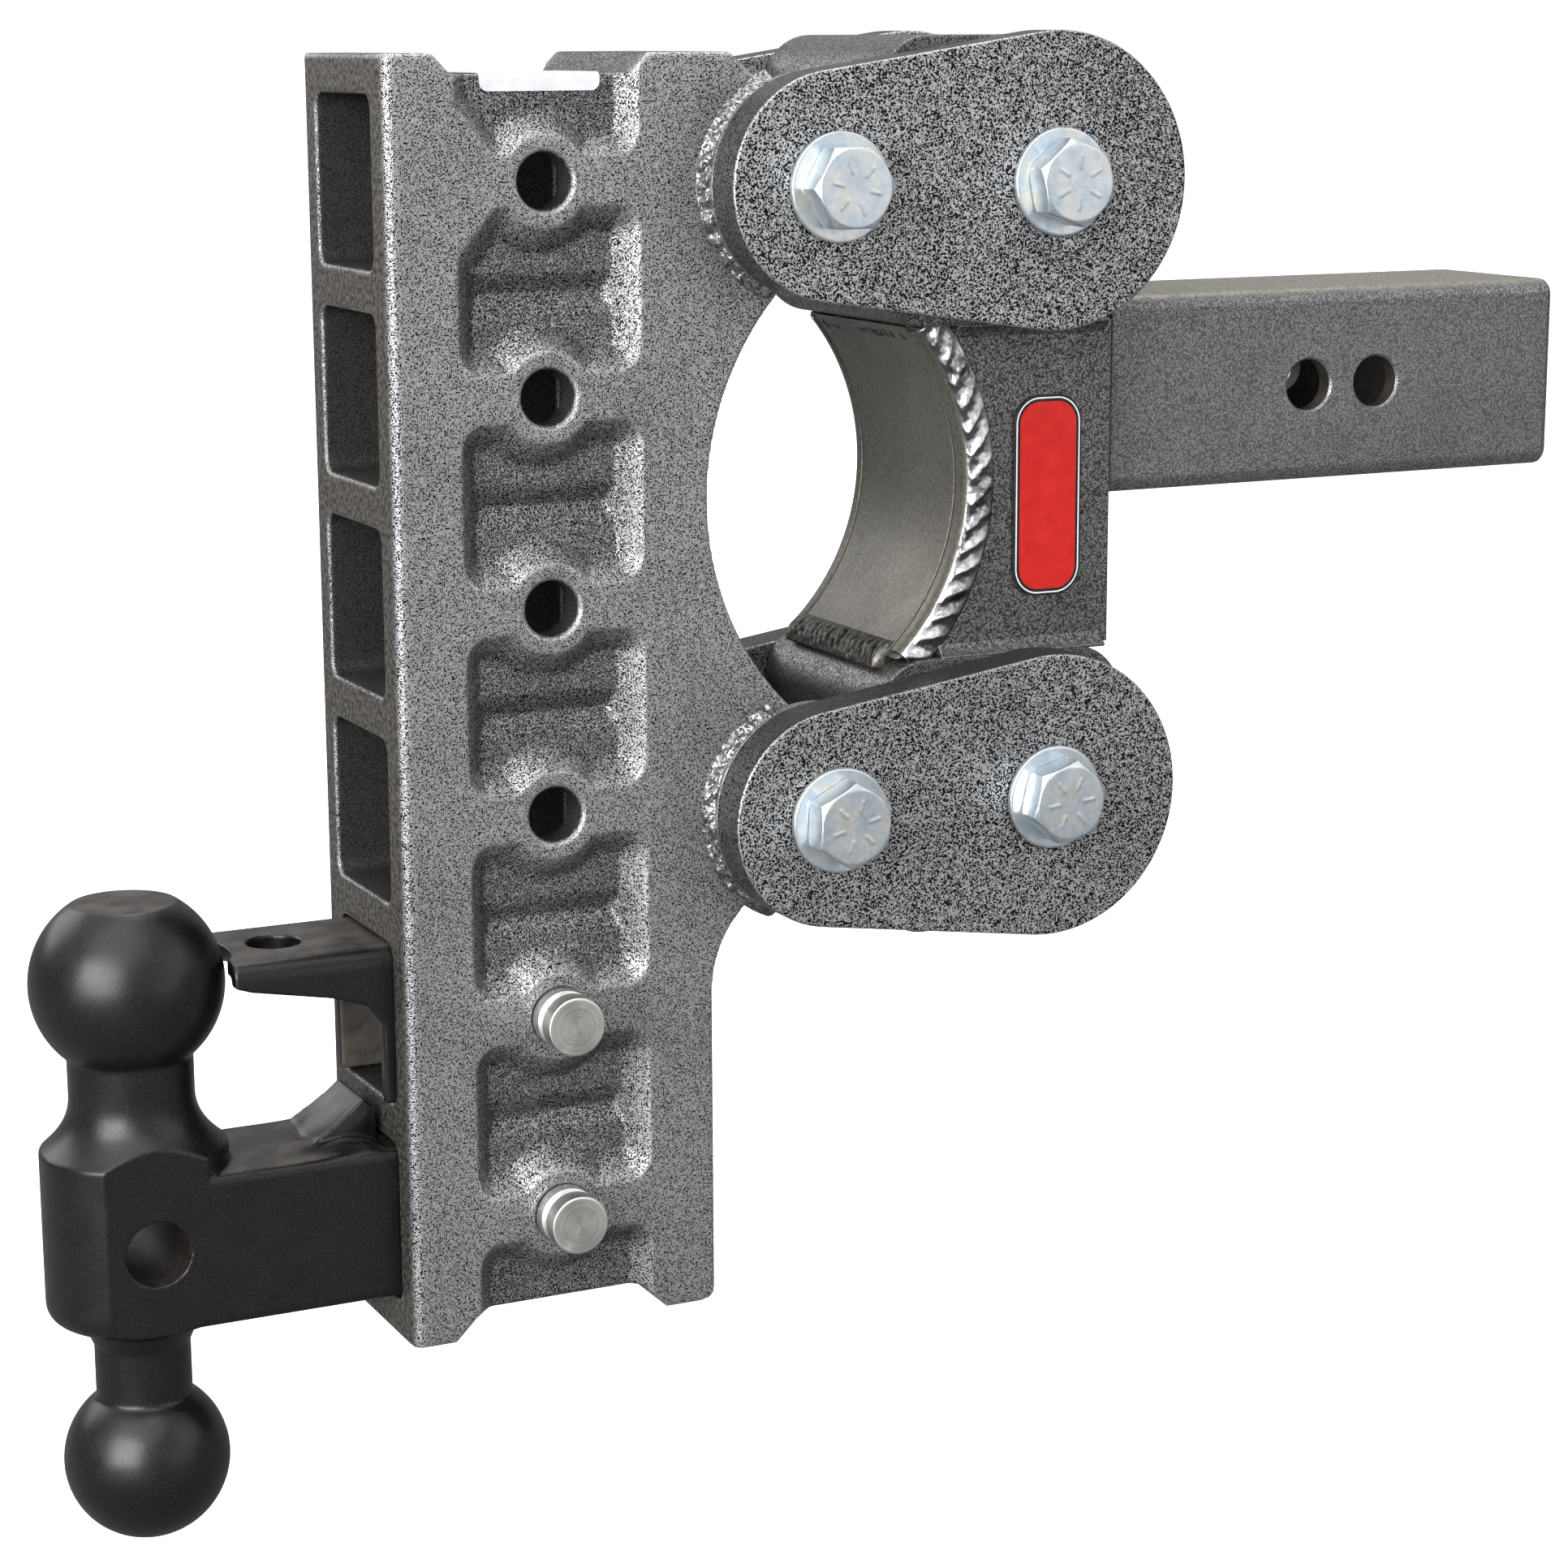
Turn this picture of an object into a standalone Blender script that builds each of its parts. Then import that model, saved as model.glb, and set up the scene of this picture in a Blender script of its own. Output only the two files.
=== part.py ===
"""Adjustable drop hitch with a dual ball mount and rubber torsion suspension.

Metres, +X towards the truck, +Z up, -Y the near side.  The origin is on the centreline of the
receiver shank, at its front pin hole.  Names starting "near" are at -Y and names starting "far" at +Y.
"""
import math

import bmesh
import bpy
from mathutils import Vector

MM = 0.001
GAP = 0.3 * MM                      # between solids that touch

# receiver shank, a square tube that slides into the truck's 2.5 inch receiver
SHANK_SIDE = 63.5 * MM
SHANK_WALL = 6.35 * MM
SHANK_CORNER = 5.0 * MM
SHANK_FRONT_X = 73.0 * MM
SHANK_HOLE_D = 17.0 * MM
SHANK_HOLE_PITCH = 26.7 * MM

# welded frame on the truck side
FRAME_FRONT_X = -103.7 * MM
PLATE_FRONT_X = FRAME_FRONT_X - 3.2 * MM
PLATE_T = 6.35 * MM
WEB_T = 9.5 * MM
WEB_RADIUS = 72.0 * MM              # concave face of the curved web
WEB_CENTRE = (-232.5 * MM, -23.5 * MM)
HOUSING_SIDE = 88.9 * MM
HOUSING_CORNER = 17.0 * MM
HOUSING_HALF_Y = 41.3 * MM
CAVITY_SIDE = 56.0 * MM
TORSION_BAR_SIDE = 28.0 * MM
CORD_D = 19.6 * MM

# arms and their pivots
TORSION_X = -138.4 * MM             # axis of the torsion bars
RACK_PIVOT_X = TORSION_X - 76.2 * MM
UPPER_Z = 69.8 * MM
LOWER_Z = -123.6 * MM
ARM_INNER_Y = 41.8 * MM
ARM_T = 15.9 * MM
ARM_BIG_R = 45.7 * MM
ARM_SMALL_R = 34.5 * MM
BOLT_D = 15.9 * MM
BOLT_ACROSS_FLATS = 23.8 * MM
BOLT_HEAD_T = 9.9 * MM
BOLT_REACH = 40.0 * MM
BOLT_HOLE_D = 16.9 * MM
WASHER_D = 33.3 * MM
WASHER_T = 2.4 * MM
SHAFT_D = 24.4 * MM
BUSH_D = 30.4 * MM
# Degrees each bolt head is turned about its own axis, clockwise from the near side.
BOLT_TURN = {"upper_rack": 30.0, "upper_truck": -15.0, "lower_rack": 0.0, "lower_truck": 10.0}
PIVOT_STEPS = 20                    # facets of the shafts, bushes and bores that turn on each other
NOSE_R = 19.0 * MM

# drop rack
RACK_X = -300.0 * MM                # line of the six cross holes
RACK_REAR_X = RACK_X - 50.0 * MM
RACK_FRONT_X = RACK_X + 52.0 * MM
RACK_TOP_Z = 109.5 * MM
RACK_BOTTOM_Z = -282.0 * MM
RACK_W = 72.4 * MM
TOP_HOLE_Z = 72.5 * MM
HOLE_PITCH = 63.5 * MM
HOLE_COUNT = 6
HOLE_D = 16.9 * MM
SOCKET_W = 49.2 * MM
SOCKET_H = 50.8 * MM
SOCKET_FRONT_X = RACK_X + 28.0 * MM
GAP_ARC_CENTRE = (-156.4 * MM, -25.0 * MM)
GAP_ARC_R = 92.0 * MM
RECESS_X = RACK_X + 1.0 * MM
RECESS_HALF_X = 29.0 * MM
RECESS_HALF_Z = 24.6 * MM
RECESS_DEPTH = 6.0 * MM
BOSS_R = 13.5 * MM
TOP_NOTCH_Z = 103.5 * MM
BOTTOM_NOTCH_Z = -274.5 * MM

# ball mount, pintle lock and pins
BALL_X = RACK_X - 125.7 * MM
UPPER_BALL_D = 58.74 * MM
UPPER_BALL_Z = -164.0 * MM
LOWER_BALL_D = 50.8 * MM
LOWER_BALL_Z = -315.5 * MM
BAR_SIDE = 47.6 * MM
BLOCK_R = 28.6 * MM
PIN_D = 15.9 * MM
PIN_HEAD_D = 18.6 * MM
PIN_PLAY = 3.0 * MM
CLIP_WIRE_D = 3.6 * MM
CLIP_Y = RACK_W / 2 + PIN_PLAY + CLIP_WIRE_D / 2 + 0.8 * MM

LOCK_HOLE_Z = TOP_HOLE_Z - 4 * HOLE_PITCH
BAR_HOLE_Z = TOP_HOLE_Z - 5 * HOLE_PITCH

# name: (red, green, blue, metallic, roughness)
FINISHES = {
    "hammertone_fine": (0.14, 0.14, 0.15, 0.6, 0.45),
    "hammertone_bold": (0.10, 0.10, 0.11, 0.6, 0.40),
    "satin_dark": (0.06, 0.06, 0.055, 0.2, 0.40),
    "powder_black": (0.018, 0.018, 0.020, 0.0, 0.45),
    "zinc": (0.62, 0.66, 0.68, 1.0, 0.35),
    "stainless": (0.60, 0.58, 0.55, 1.0, 0.30),
    "bronze": (0.45, 0.30, 0.12, 1.0, 0.40),
    "bar_steel": (0.25, 0.25, 0.26, 1.0, 0.50),
    "rubber": (0.02, 0.02, 0.02, 0.0, 0.80),
    "badge_red": (0.70, 0.03, 0.02, 0.0, 0.35),
    "label_white": (0.80, 0.81, 0.83, 0.0, 0.40),
}


def clear_scene():
    for item in list(bpy.data.objects):
        bpy.data.objects.remove(item, do_unlink=True)
    for group in list(bpy.data.collections):
        bpy.data.collections.remove(group)


def new_collection(name):
    group = bpy.data.collections.new(name)
    bpy.context.scene.collection.children.link(group)
    return group


def finish(name):
    material = bpy.data.materials.get(name)
    if material is None:
        red, green, blue, metallic, roughness = FINISHES[name]
        material = bpy.data.materials.new(name)
        material.use_nodes = True
        shader = material.node_tree.nodes["Principled BSDF"]
        shader.inputs["Base Color"].default_value = (red, green, blue, 1.0)
        shader.inputs["Metallic"].default_value = metallic
        shader.inputs["Roughness"].default_value = roughness
    return material


def add_part(name, mesh, finish_name, parent=None, at=(0, 0, 0), turn=(0, 0, 0)):
    """Put a mesh in the parts collection at a world place, riding on a parent empty."""
    item = bpy.data.objects.new(name, mesh)
    parts.objects.link(item)
    mesh.materials.clear()
    mesh.materials.append(finish(finish_name))
    item.rotation_euler = turn
    item.location = Vector(at)
    if parent is not None:
        item.parent = parent
        item.location = Vector(at) - parent.matrix_world.translation
    return item


def add_cutter(name, mesh, at=(0, 0, 0), turn=(0, 0, 0), group=None):
    item = bpy.data.objects.new(name, mesh)
    (group or cutters).objects.link(item)
    item.location = at
    item.rotation_euler = turn
    item.hide_render = True
    item.display_type = "WIRE"
    return item


def axis_empty(name, at, parent=None):
    item = bpy.data.objects.new(name, None)
    parts.objects.link(item)
    item.location = at
    if parent is not None:
        item.parent = parent
        item.location = Vector(at) - parent.matrix_world.translation
    bpy.context.view_layer.update()
    return item


def boolean(item, other, operation="DIFFERENCE"):
    cut = item.modifiers.new(operation.lower(), "BOOLEAN")
    cut.operation = operation
    cut.solver = "EXACT"
    if isinstance(other, bpy.types.Collection):
        cut.operand_type = "COLLECTION"
        cut.collection = other
    else:
        cut.object = other


def bevel(item, width, segments=1, angle=40.0):
    edge = item.modifiers.new("bevel", "BEVEL")
    edge.width = width
    edge.segments = segments
    edge.limit_method = "ANGLE"
    edge.angle_limit = math.radians(angle)


def baked(item):
    """The object's evaluated mesh, for copies that share it; the object itself goes."""
    bpy.context.view_layer.update()
    mesh = bpy.data.meshes.new_from_object(item.evaluated_get(bpy.context.evaluated_depsgraph_get()))
    bpy.data.objects.remove(item, do_unlink=True)
    return mesh


def smooth(mesh, angle=35.0):
    mesh.shade_smooth()
    mesh.set_sharp_from_angle(angle=math.radians(angle))
    return mesh


# ---- outlines in the X-Z plane -------------------------------------------------------------

def arc(centre, radius, start, end, steps):
    """Points of an arc, angles in degrees from +X towards +Z."""
    points = []
    for step in range(steps + 1):
        angle = math.radians(start + (end - start) * step / steps)
        points.append((centre[0] + radius * math.cos(angle), centre[1] + radius * math.sin(angle)))
    return points


def circle(centre, radius, steps=16):
    return arc(centre, radius, 0.0, 360.0 * (steps - 1) / steps, steps - 1)


def rounded_rectangle(centre, width, height, radius, steps=3):
    corners = []
    for sign_x, sign_z, start in ((1, 1, 0), (-1, 1, 90), (-1, -1, 180), (1, -1, 270)):
        corner = (centre[0] + sign_x * (width / 2 - radius), centre[1] + sign_z * (height / 2 - radius))
        corners += arc(corner, radius, start, start + 90, steps)
    return corners


def plate_mesh(name, outlines, thickness):
    """A flat plate: closed outlines in local X-Y, the first outside and the rest holes."""
    curve = bpy.data.curves.new(name, "CURVE")
    curve.dimensions = "2D"
    curve.fill_mode = "BOTH"
    curve.extrude = thickness / 2
    for outline in outlines:
        spline = curve.splines.new("POLY")
        spline.points.add(len(outline) - 1)
        for point, (across, along) in zip(spline.points, outline):
            point.co = (across, along, 0.0, 1.0)
        spline.use_cyclic_u = True
    item = bpy.data.objects.new(name, curve)
    bpy.context.scene.collection.objects.link(item)
    mesh = baked(item)
    bpy.data.curves.remove(curve)
    form = bmesh.new()
    form.from_mesh(mesh)
    bmesh.ops.remove_doubles(form, verts=form.verts, dist=0.01 * MM)
    bmesh.ops.recalc_face_normals(form, faces=form.faces)
    form.to_mesh(mesh)
    form.free()
    return mesh


STANDING = (math.pi / 2, 0, 0)      # turns local X-Y into world X-Z, and local +Z to world -Y
ACROSS_FAR = (-math.pi / 2, 0, 0)   # local +Z to world +Y


# ---- turned and simple shapes --------------------------------------------------------------

def turned_mesh(name, profile, steps=16, closed=False):
    """A turned solid about local Z.  The profile's (radius, height) points run top to bottom."""
    mesh = bpy.data.meshes.new(name)
    points = [(radius, 0.0, height) for radius, height in profile]
    edges = [(index, index + 1) for index in range(len(points) - 1)]
    if closed:
        edges.append((len(points) - 1, 0))
    mesh.from_pydata(points, edges, [])
    item = bpy.data.objects.new(name, mesh)
    bpy.context.scene.collection.objects.link(item)
    screw = item.modifiers.new("screw", "SCREW")
    screw.steps = steps
    screw.render_steps = steps
    screw.use_merge_vertices = True
    screw.merge_threshold = 0.01 * MM
    return smooth(baked(item))


def ring_mesh(name, outer, inner, length, steps=16):
    half = length / 2
    return turned_mesh(name, [(inner, half), (outer, half), (outer, -half), (inner, -half)], steps, True)


def rod_mesh(name, radius, length, steps=16):
    form = bmesh.new()
    bmesh.ops.create_cone(form, cap_ends=True, segments=steps, radius1=radius, radius2=radius, depth=length)
    mesh = bpy.data.meshes.new(name)
    form.to_mesh(mesh)
    form.free()
    return smooth(mesh)


def box_mesh(name, low, high):
    form = bmesh.new()
    bmesh.ops.create_cube(form, size=1.0)
    size = Vector(high) - Vector(low)
    middle = (Vector(high) + Vector(low)) / 2
    for vert in form.verts:
        vert.co = Vector([middle[axis] + vert.co[axis] * size[axis] for axis in range(3)])
    mesh = bpy.data.meshes.new(name)
    form.to_mesh(mesh)
    form.free()
    return mesh


# ---- truck side: shank and welded frame ----------------------------------------------------

def make_shank():
    length = SHANK_FRONT_X - FRAME_FRONT_X - GAP
    side = rounded_rectangle((0, 0), SHANK_SIDE, SHANK_SIDE, SHANK_CORNER, 3)
    inner = SHANK_SIDE - 2 * SHANK_WALL
    bore = rounded_rectangle((0, 0), inner, inner, 2.0 * MM, 2)
    mesh = plate_mesh("shank_tube", [side, bore], length)
    middle_x = (SHANK_FRONT_X + FRAME_FRONT_X + GAP) / 2
    shank = add_part("shank_tube", mesh, "hammertone_fine", at=(middle_x, 0, 0), turn=(0, math.pi / 2, 0))
    for number in range(2):
        hole = rod_mesh("shank_hole", SHANK_HOLE_D / 2, 2 * SHANK_SIDE)
        boolean(shank, add_cutter("shank_hole", hole, (-number * SHANK_HOLE_PITCH, 0, 0), STANDING))


def web_angle(height, radius):
    """Angle about the web's centre at which a circle of this radius reaches a height."""
    return math.degrees(math.asin((height - WEB_CENTRE[1]) / radius))


def make_frame():
    top = UPPER_Z - HOUSING_SIDE / 2 - GAP
    bottom = LOWER_Z + HOUSING_SIDE / 2 + GAP
    plate_r = WEB_RADIUS + 1.5 * MM
    outline = arc(WEB_CENTRE, plate_r, web_angle(bottom, plate_r), web_angle(top, plate_r), 12)
    outline += [(PLATE_FRONT_X, top), (PLATE_FRONT_X, bottom)]
    middle_y = SHANK_SIDE / 2 + PLATE_T / 2
    for side, sign in (("near", -1), ("far", 1)):
        mesh = plate_mesh(side + "_side_plate", [outline], PLATE_T)
        plate = add_part(side + "_side_plate", mesh, "hammertone_fine",
                         at=(0, sign * middle_y, 0), turn=STANDING)

    width = SHANK_SIDE - 2 * GAP
    outer_r = WEB_RADIUS + WEB_T
    web = arc(WEB_CENTRE, WEB_RADIUS, web_angle(bottom, WEB_RADIUS), web_angle(top, WEB_RADIUS), 14)
    web += arc(WEB_CENTRE, outer_r, web_angle(top, outer_r), web_angle(bottom, outer_r), 14)
    add_part("curved_web", plate_mesh("curved_web", [web], width), "satin_dark", turn=STANDING)

    back_low = (FRAME_FRONT_X - WEB_T, -width / 2, bottom)
    back = box_mesh("back_plate", back_low, (FRAME_FRONT_X, width / 2, top))
    add_part("back_plate", back, "hammertone_fine")

    face_y = -(SHANK_SIDE / 2 + PLATE_T + GAP)
    badge = rounded_rectangle((-130.6 * MM, -29.8 * MM), 24.6 * MM, 64.2 * MM, 9.0 * MM, 4)
    badge_t = 0.8 * MM
    mesh = plate_mesh("frame_badge", [badge], badge_t)
    add_part("frame_badge", mesh, "badge_red", at=(0, face_y - badge_t / 2, 0), turn=STANDING)


def make_housing(level, axis_z):
    """A torsion housing: a heavy square tube whose square cavity is centred on the torsion bar."""
    centre_x = FRAME_FRONT_X - HOUSING_SIDE / 2
    outline = rounded_rectangle((centre_x, axis_z), HOUSING_SIDE, HOUSING_SIDE, HOUSING_CORNER, 4)
    cavity = rounded_rectangle((TORSION_X, axis_z), CAVITY_SIDE, CAVITY_SIDE, 1.5 * MM, 1)
    mesh = plate_mesh(level + "_torsion_housing", [outline, cavity], 2 * HOUSING_HALF_Y)
    add_part(level + "_torsion_housing", mesh, "hammertone_fine", turn=STANDING)
    reach = (CAVITY_SIDE / 2 - CORD_D / 2 - GAP)
    for number, (sign_x, sign_z) in enumerate(((-1, 1), (1, 1), (1, -1), (-1, -1)), start=1):
        cord = rod_mesh("rubber_cord", CORD_D / 2, 2 * HOUSING_HALF_Y - 8 * MM, 12)
        place = (TORSION_X + sign_x * reach, 0, axis_z + sign_z * reach)
        add_part("%s_rubber_cord_%d" % (level, number), cord, "rubber", at=place, turn=STANDING)


# ---- arms ----------------------------------------------------------------------------------

def bolt_mesh():
    """Hexagon bolt about local Z, its head upwards and the underside of its head at zero."""
    head_r = BOLT_ACROSS_FLATS / math.sqrt(3)
    head = rod_mesh("bolt_head", head_r, BOLT_HEAD_T, 6)
    item = add_cutter("bolt_head", head)
    for vert in head.vertices:
        vert.co.z += BOLT_HEAD_T / 2
    head.shade_flat()
    dome = [(0, BOLT_HEAD_T), (10.9 * MM, BOLT_HEAD_T), (14.6 * MM, BOLT_HEAD_T - 2.1 * MM),
            (14.6 * MM, 0.8 * MM), (13.2 * MM, 0), (0, 0)]
    boolean(item, add_cutter("bolt_dome", turned_mesh("bolt_dome", dome, 12)), "INTERSECT")
    shank = [(0, 1.0 * MM), (BOLT_D / 2, 1.0 * MM), (BOLT_D / 2, 1.5 * MM - BOLT_REACH),
             (BOLT_D / 2 - 1.5 * MM, -BOLT_REACH), (0, -BOLT_REACH)]
    boolean(item, add_cutter("bolt_shank", turned_mesh("bolt_shank", shank, 12)), "UNION")
    return smooth(baked(item), 30)


def arm_outline():
    """Tapered plate about the torsion axis: big end at the origin, small end towards -X."""
    distance = TORSION_X - RACK_PIVOT_X
    slope = math.degrees(math.acos((ARM_BIG_R - ARM_SMALL_R) / distance))
    outline = arc((0, 0), ARM_BIG_R, slope - 180, 180 - slope, 24)
    outline += arc((-distance, 0), ARM_SMALL_R, 180 - slope, 180 + slope, 14)
    return outline


def make_arms(level, axis, bolt):
    distance = TORSION_X - RACK_PIVOT_X
    big_hole = circle((0, 0), BOLT_HOLE_D / 2)
    small_hole = circle((-distance, 0), BOLT_HOLE_D / 2)
    middle_y = ARM_INNER_Y + ARM_T / 2
    washer_y = ARM_INNER_Y + ARM_T + GAP + WASHER_T / 2
    head_y = washer_y + WASHER_T / 2 + GAP
    axis_z = axis.matrix_world.translation.z
    for side, sign, turn in (("near", -1, STANDING), ("far", 1, ACROSS_FAR)):
        start = "%s_%s_" % (level, side)
        mesh = plate_mesh(start + "arm", [arm_outline(), big_hole, small_hole], ARM_T)
        place = (TORSION_X, sign * middle_y, axis_z)
        add_part(start + "arm", mesh, "hammertone_bold", axis, place, STANDING)
        for end, end_x in (("truck", TORSION_X), ("rack", RACK_PIVOT_X)):
            washer = ring_mesh("washer", WASHER_D / 2, BOLT_HOLE_D / 2, WASHER_T)
            add_part(start + end + "_washer", washer, "zinc", axis, (end_x, sign * washer_y, axis_z), turn)
            bolt_turn = (turn[0], math.radians(BOLT_TURN[level + "_" + end]), 0)
            add_part(start + end + "_bolt", bolt, "zinc", axis, (end_x, sign * head_y, axis_z), bolt_turn)

    half = ARM_INNER_Y - GAP
    bar_side = [(TORSION_BAR_SIDE / 2 * across, TORSION_BAR_SIDE / 2 * along)
                for across, along in ((1, 1), (-1, 1), (-1, -1), (1, -1))]
    turned_side = [((across - along) * math.sqrt(0.5), (across + along) * math.sqrt(0.5))
                   for across, along in bar_side]
    tapped = circle((0, 0), BOLT_HOLE_D / 2)
    bar = plate_mesh(level + "_torsion_bar", [turned_side, tapped], 2 * half)
    add_part(level + "_torsion_bar", bar, "bar_steel", axis, (TORSION_X, 0, axis_z), STANDING)
    shaft = ring_mesh(level + "_pivot_shaft", SHAFT_D / 2, BOLT_HOLE_D / 2, 2 * half, PIVOT_STEPS)
    add_part(level + "_pivot_shaft", shaft, "bar_steel", axis, (RACK_PIVOT_X, 0, axis_z), STANDING)


# ---- rack ----------------------------------------------------------------------------------

def rack_outline():
    """Side view of the rack: straight rear, two pivot noses and the round gap between them."""
    upper = (RACK_PIVOT_X, UPPER_Z)
    lower = (RACK_PIVOT_X, LOWER_Z)
    outline = [(RACK_REAR_X, RACK_BOTTOM_Z), (RACK_FRONT_X - 3 * MM, RACK_BOTTOM_Z),
               (RACK_FRONT_X, RACK_BOTTOM_Z + 4 * MM)]
    outline += arc((RACK_FRONT_X + 36 * MM, -180 * MM), 36 * MM, 180, 127, 6)
    outline += arc(lower, NOSE_R, -62, 62, 8)
    outline += arc(GAP_ARC_CENTRE, GAP_ARC_R, 225.5, 137, 18)
    outline += arc(upper, NOSE_R, -62, 42, 8)
    outline += [(RACK_X + 75 * MM, RACK_TOP_Z - 12.5 * MM), (RACK_X + 60 * MM, RACK_TOP_Z),
                (RACK_REAR_X, RACK_TOP_Z)]
    return outline


def tapered_block(name, half_x, half_z, depth, draft, corner):
    """Block about local Z, wide at the top, whose four slanted edges are rounded."""
    form = bmesh.new()
    bmesh.ops.create_cube(form, size=1.0)
    for vert in form.verts:
        inset = draft if vert.co.z < 0 else 0.0
        vert.co.x = math.copysign(half_x - inset, vert.co.x)
        vert.co.y = math.copysign(half_z - inset, vert.co.y)
        vert.co.z = -depth if vert.co.z < 0 else draft - depth
    slanted = [edge for edge in form.edges if abs(edge.verts[0].co.z - edge.verts[1].co.z) > depth / 2]
    bmesh.ops.bevel(form, geom=slanted, offset=corner, segments=3, profile=0.5, affect="EDGES")
    mesh = bpy.data.meshes.new(name)
    form.to_mesh(mesh)
    form.free()
    return mesh


def recess_cutter(name, group, sign, middle_z, half_z, hole_levels, groove):
    """A drafted recess in one side of the rack that leaves a round boss about each hole near it."""
    over = 2.0 * MM                 # the cutter stands this far out of the side face
    face_y = sign * RACK_W / 2
    turn = STANDING if sign < 0 else ACROSS_FAR
    draft = RECESS_DEPTH + over
    block = tapered_block(name, RECESS_HALF_X + over, half_z + over, RECESS_DEPTH, draft, 7 * MM)
    item = add_cutter(name, block, (RECESS_X, face_y, middle_z), turn, group)
    for level in hole_levels:
        low = -RECESS_DEPTH - over
        boss = [(0, 2 * over), (BOSS_R - 2 * over, 2 * over), (BOSS_R - low, low), (0, low)]
        cone = turned_mesh("boss_cone", boss)
        boolean(item, add_cutter("boss_cone", cone, (RACK_X, face_y, level), turn))
    if groove:
        form = rod_mesh("recess_groove", 4.2 * MM, 40 * MM, 4)
        deep_y = sign * (RACK_W / 2 - RECESS_DEPTH)
        add_cutter("recess_groove", form, (RACK_X + MM, deep_y, middle_z), (0, math.pi / 2, 0), group)


def make_rack(axis):
    outline = [(x - RACK_PIVOT_X, z - UPPER_Z) for x, z in rack_outline()]
    bores = [circle((0, z), BUSH_D / 2 + GAP, PIVOT_STEPS) for z in (0, LOWER_Z - UPPER_Z)]
    mesh = plate_mesh("rack", [outline] + bores, RACK_W)
    rack = add_part("rack", mesh, "hammertone_fine", axis, (RACK_PIVOT_X, 0, UPPER_Z), STANDING)
    group = bpy.data.collections.new("rack_cutters")
    cutters.children.link(group)

    levels = [TOP_HOLE_Z - number * HOLE_PITCH for number in range(HOLE_COUNT)]
    for number, level in enumerate(levels, start=1):
        hole = rod_mesh("rack_hole", HOLE_D / 2, 2 * RACK_W)
        add_cutter("rack_hole_%d" % number, hole, (RACK_X, 0, level), STANDING, group)
        depth = SOCKET_FRONT_X - RACK_REAR_X + 10 * MM
        outline = rounded_rectangle((0, 0), SOCKET_H, SOCKET_W, 4 * MM, 2)
        socket = plate_mesh("rack_socket", [outline], depth)
        place = (SOCKET_FRONT_X - depth / 2, 0, level)
        add_cutter("rack_socket_%d" % number, socket, place, (0, math.pi / 2, 0), group)

    for sign in (-1, 1):
        for number, (above, below) in enumerate(zip(levels, levels[1:]), start=1):
            recess_cutter("recess_%d" % number, group, sign, (above + below) / 2, RECESS_HALF_Z,
                          (above, below), True)
        end_half = 20 * MM
        top_recess_z = levels[0] + 7.2 * MM + end_half
        recess_cutter("recess_top", group, sign, top_recess_z, end_half, levels[:1], False)
        bottom_recess_z = levels[-1] - 7.2 * MM - end_half
        recess_cutter("recess_bottom", group, sign, bottom_recess_z, end_half, levels[-1:], False)

    for name, floor_z, sign in (("top_notch", TOP_NOTCH_Z, 1), ("bottom_notch", BOTTOM_NOTCH_Z, -1)):
        half = 28 * MM
        rise = 12 * MM
        saddle = [(-half, 0), (half, 0), (half + rise, sign * rise), (-half - rise, sign * rise)]
        notch = plate_mesh(name, [saddle], 2 * RACK_W)
        add_cutter(name, notch, (RACK_X - 0.5 * MM, 0, floor_z), STANDING, group)
    boolean(rack, group)


def make_pivot_pieces(level, axis_z, parent):
    """Bronze bush through the rack's nose, and a welded pad on each side of it."""
    bush = ring_mesh(level + "_pivot_bush", BUSH_D / 2, SHAFT_D / 2 + GAP, 2 * HOUSING_HALF_Y, PIVOT_STEPS)
    add_part(level + "_pivot_bush", bush, "bronze", parent, (RACK_PIVOT_X, 0, axis_z), STANDING)
    flat = math.degrees(math.acos(NOSE_R / ARM_SMALL_R))
    outline = arc((0, 0), ARM_SMALL_R - 0.5 * MM, flat, 360 - flat, 18)
    bore = circle((0, 0), BUSH_D / 2 + GAP, PIVOT_STEPS)
    thickness = HOUSING_HALF_Y - RACK_W / 2 - GAP
    middle_y = HOUSING_HALF_Y - thickness / 2
    for side, sign in (("near", -1), ("far", 1)):
        name = "%s_%s_pad" % (level, side)
        pad = plate_mesh(name, [outline, bore], thickness)
        add_part(name, pad, "hammertone_fine", parent, (RACK_PIVOT_X, sign * middle_y, axis_z), STANDING)


def make_label(parent):
    """Blank label, folded over the edge of the notch in the rack's top."""
    side_y = -(RACK_W / 2 - RECESS_DEPTH) - GAP
    low_z = TOP_NOTCH_Z - 5.0 * MM
    high_z = TOP_NOTCH_Z + GAP
    sheet = 0.5 * MM
    section = [(side_y - sheet, low_z), (side_y, low_z), (side_y, high_z), (8 * MM, high_z),
               (8 * MM, high_z + sheet), (side_y - sheet, high_z + sheet)]
    mesh = plate_mesh("rack_label", [section], 38 * MM)
    turn = (math.pi / 2, 0, math.pi / 2)
    place = (RACK_X + MM, 0, 0)
    add_part("rack_label", mesh, "label_white", parent, place, turn)


# ---- ball mount, pintle lock, pins ---------------------------------------------------------

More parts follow.
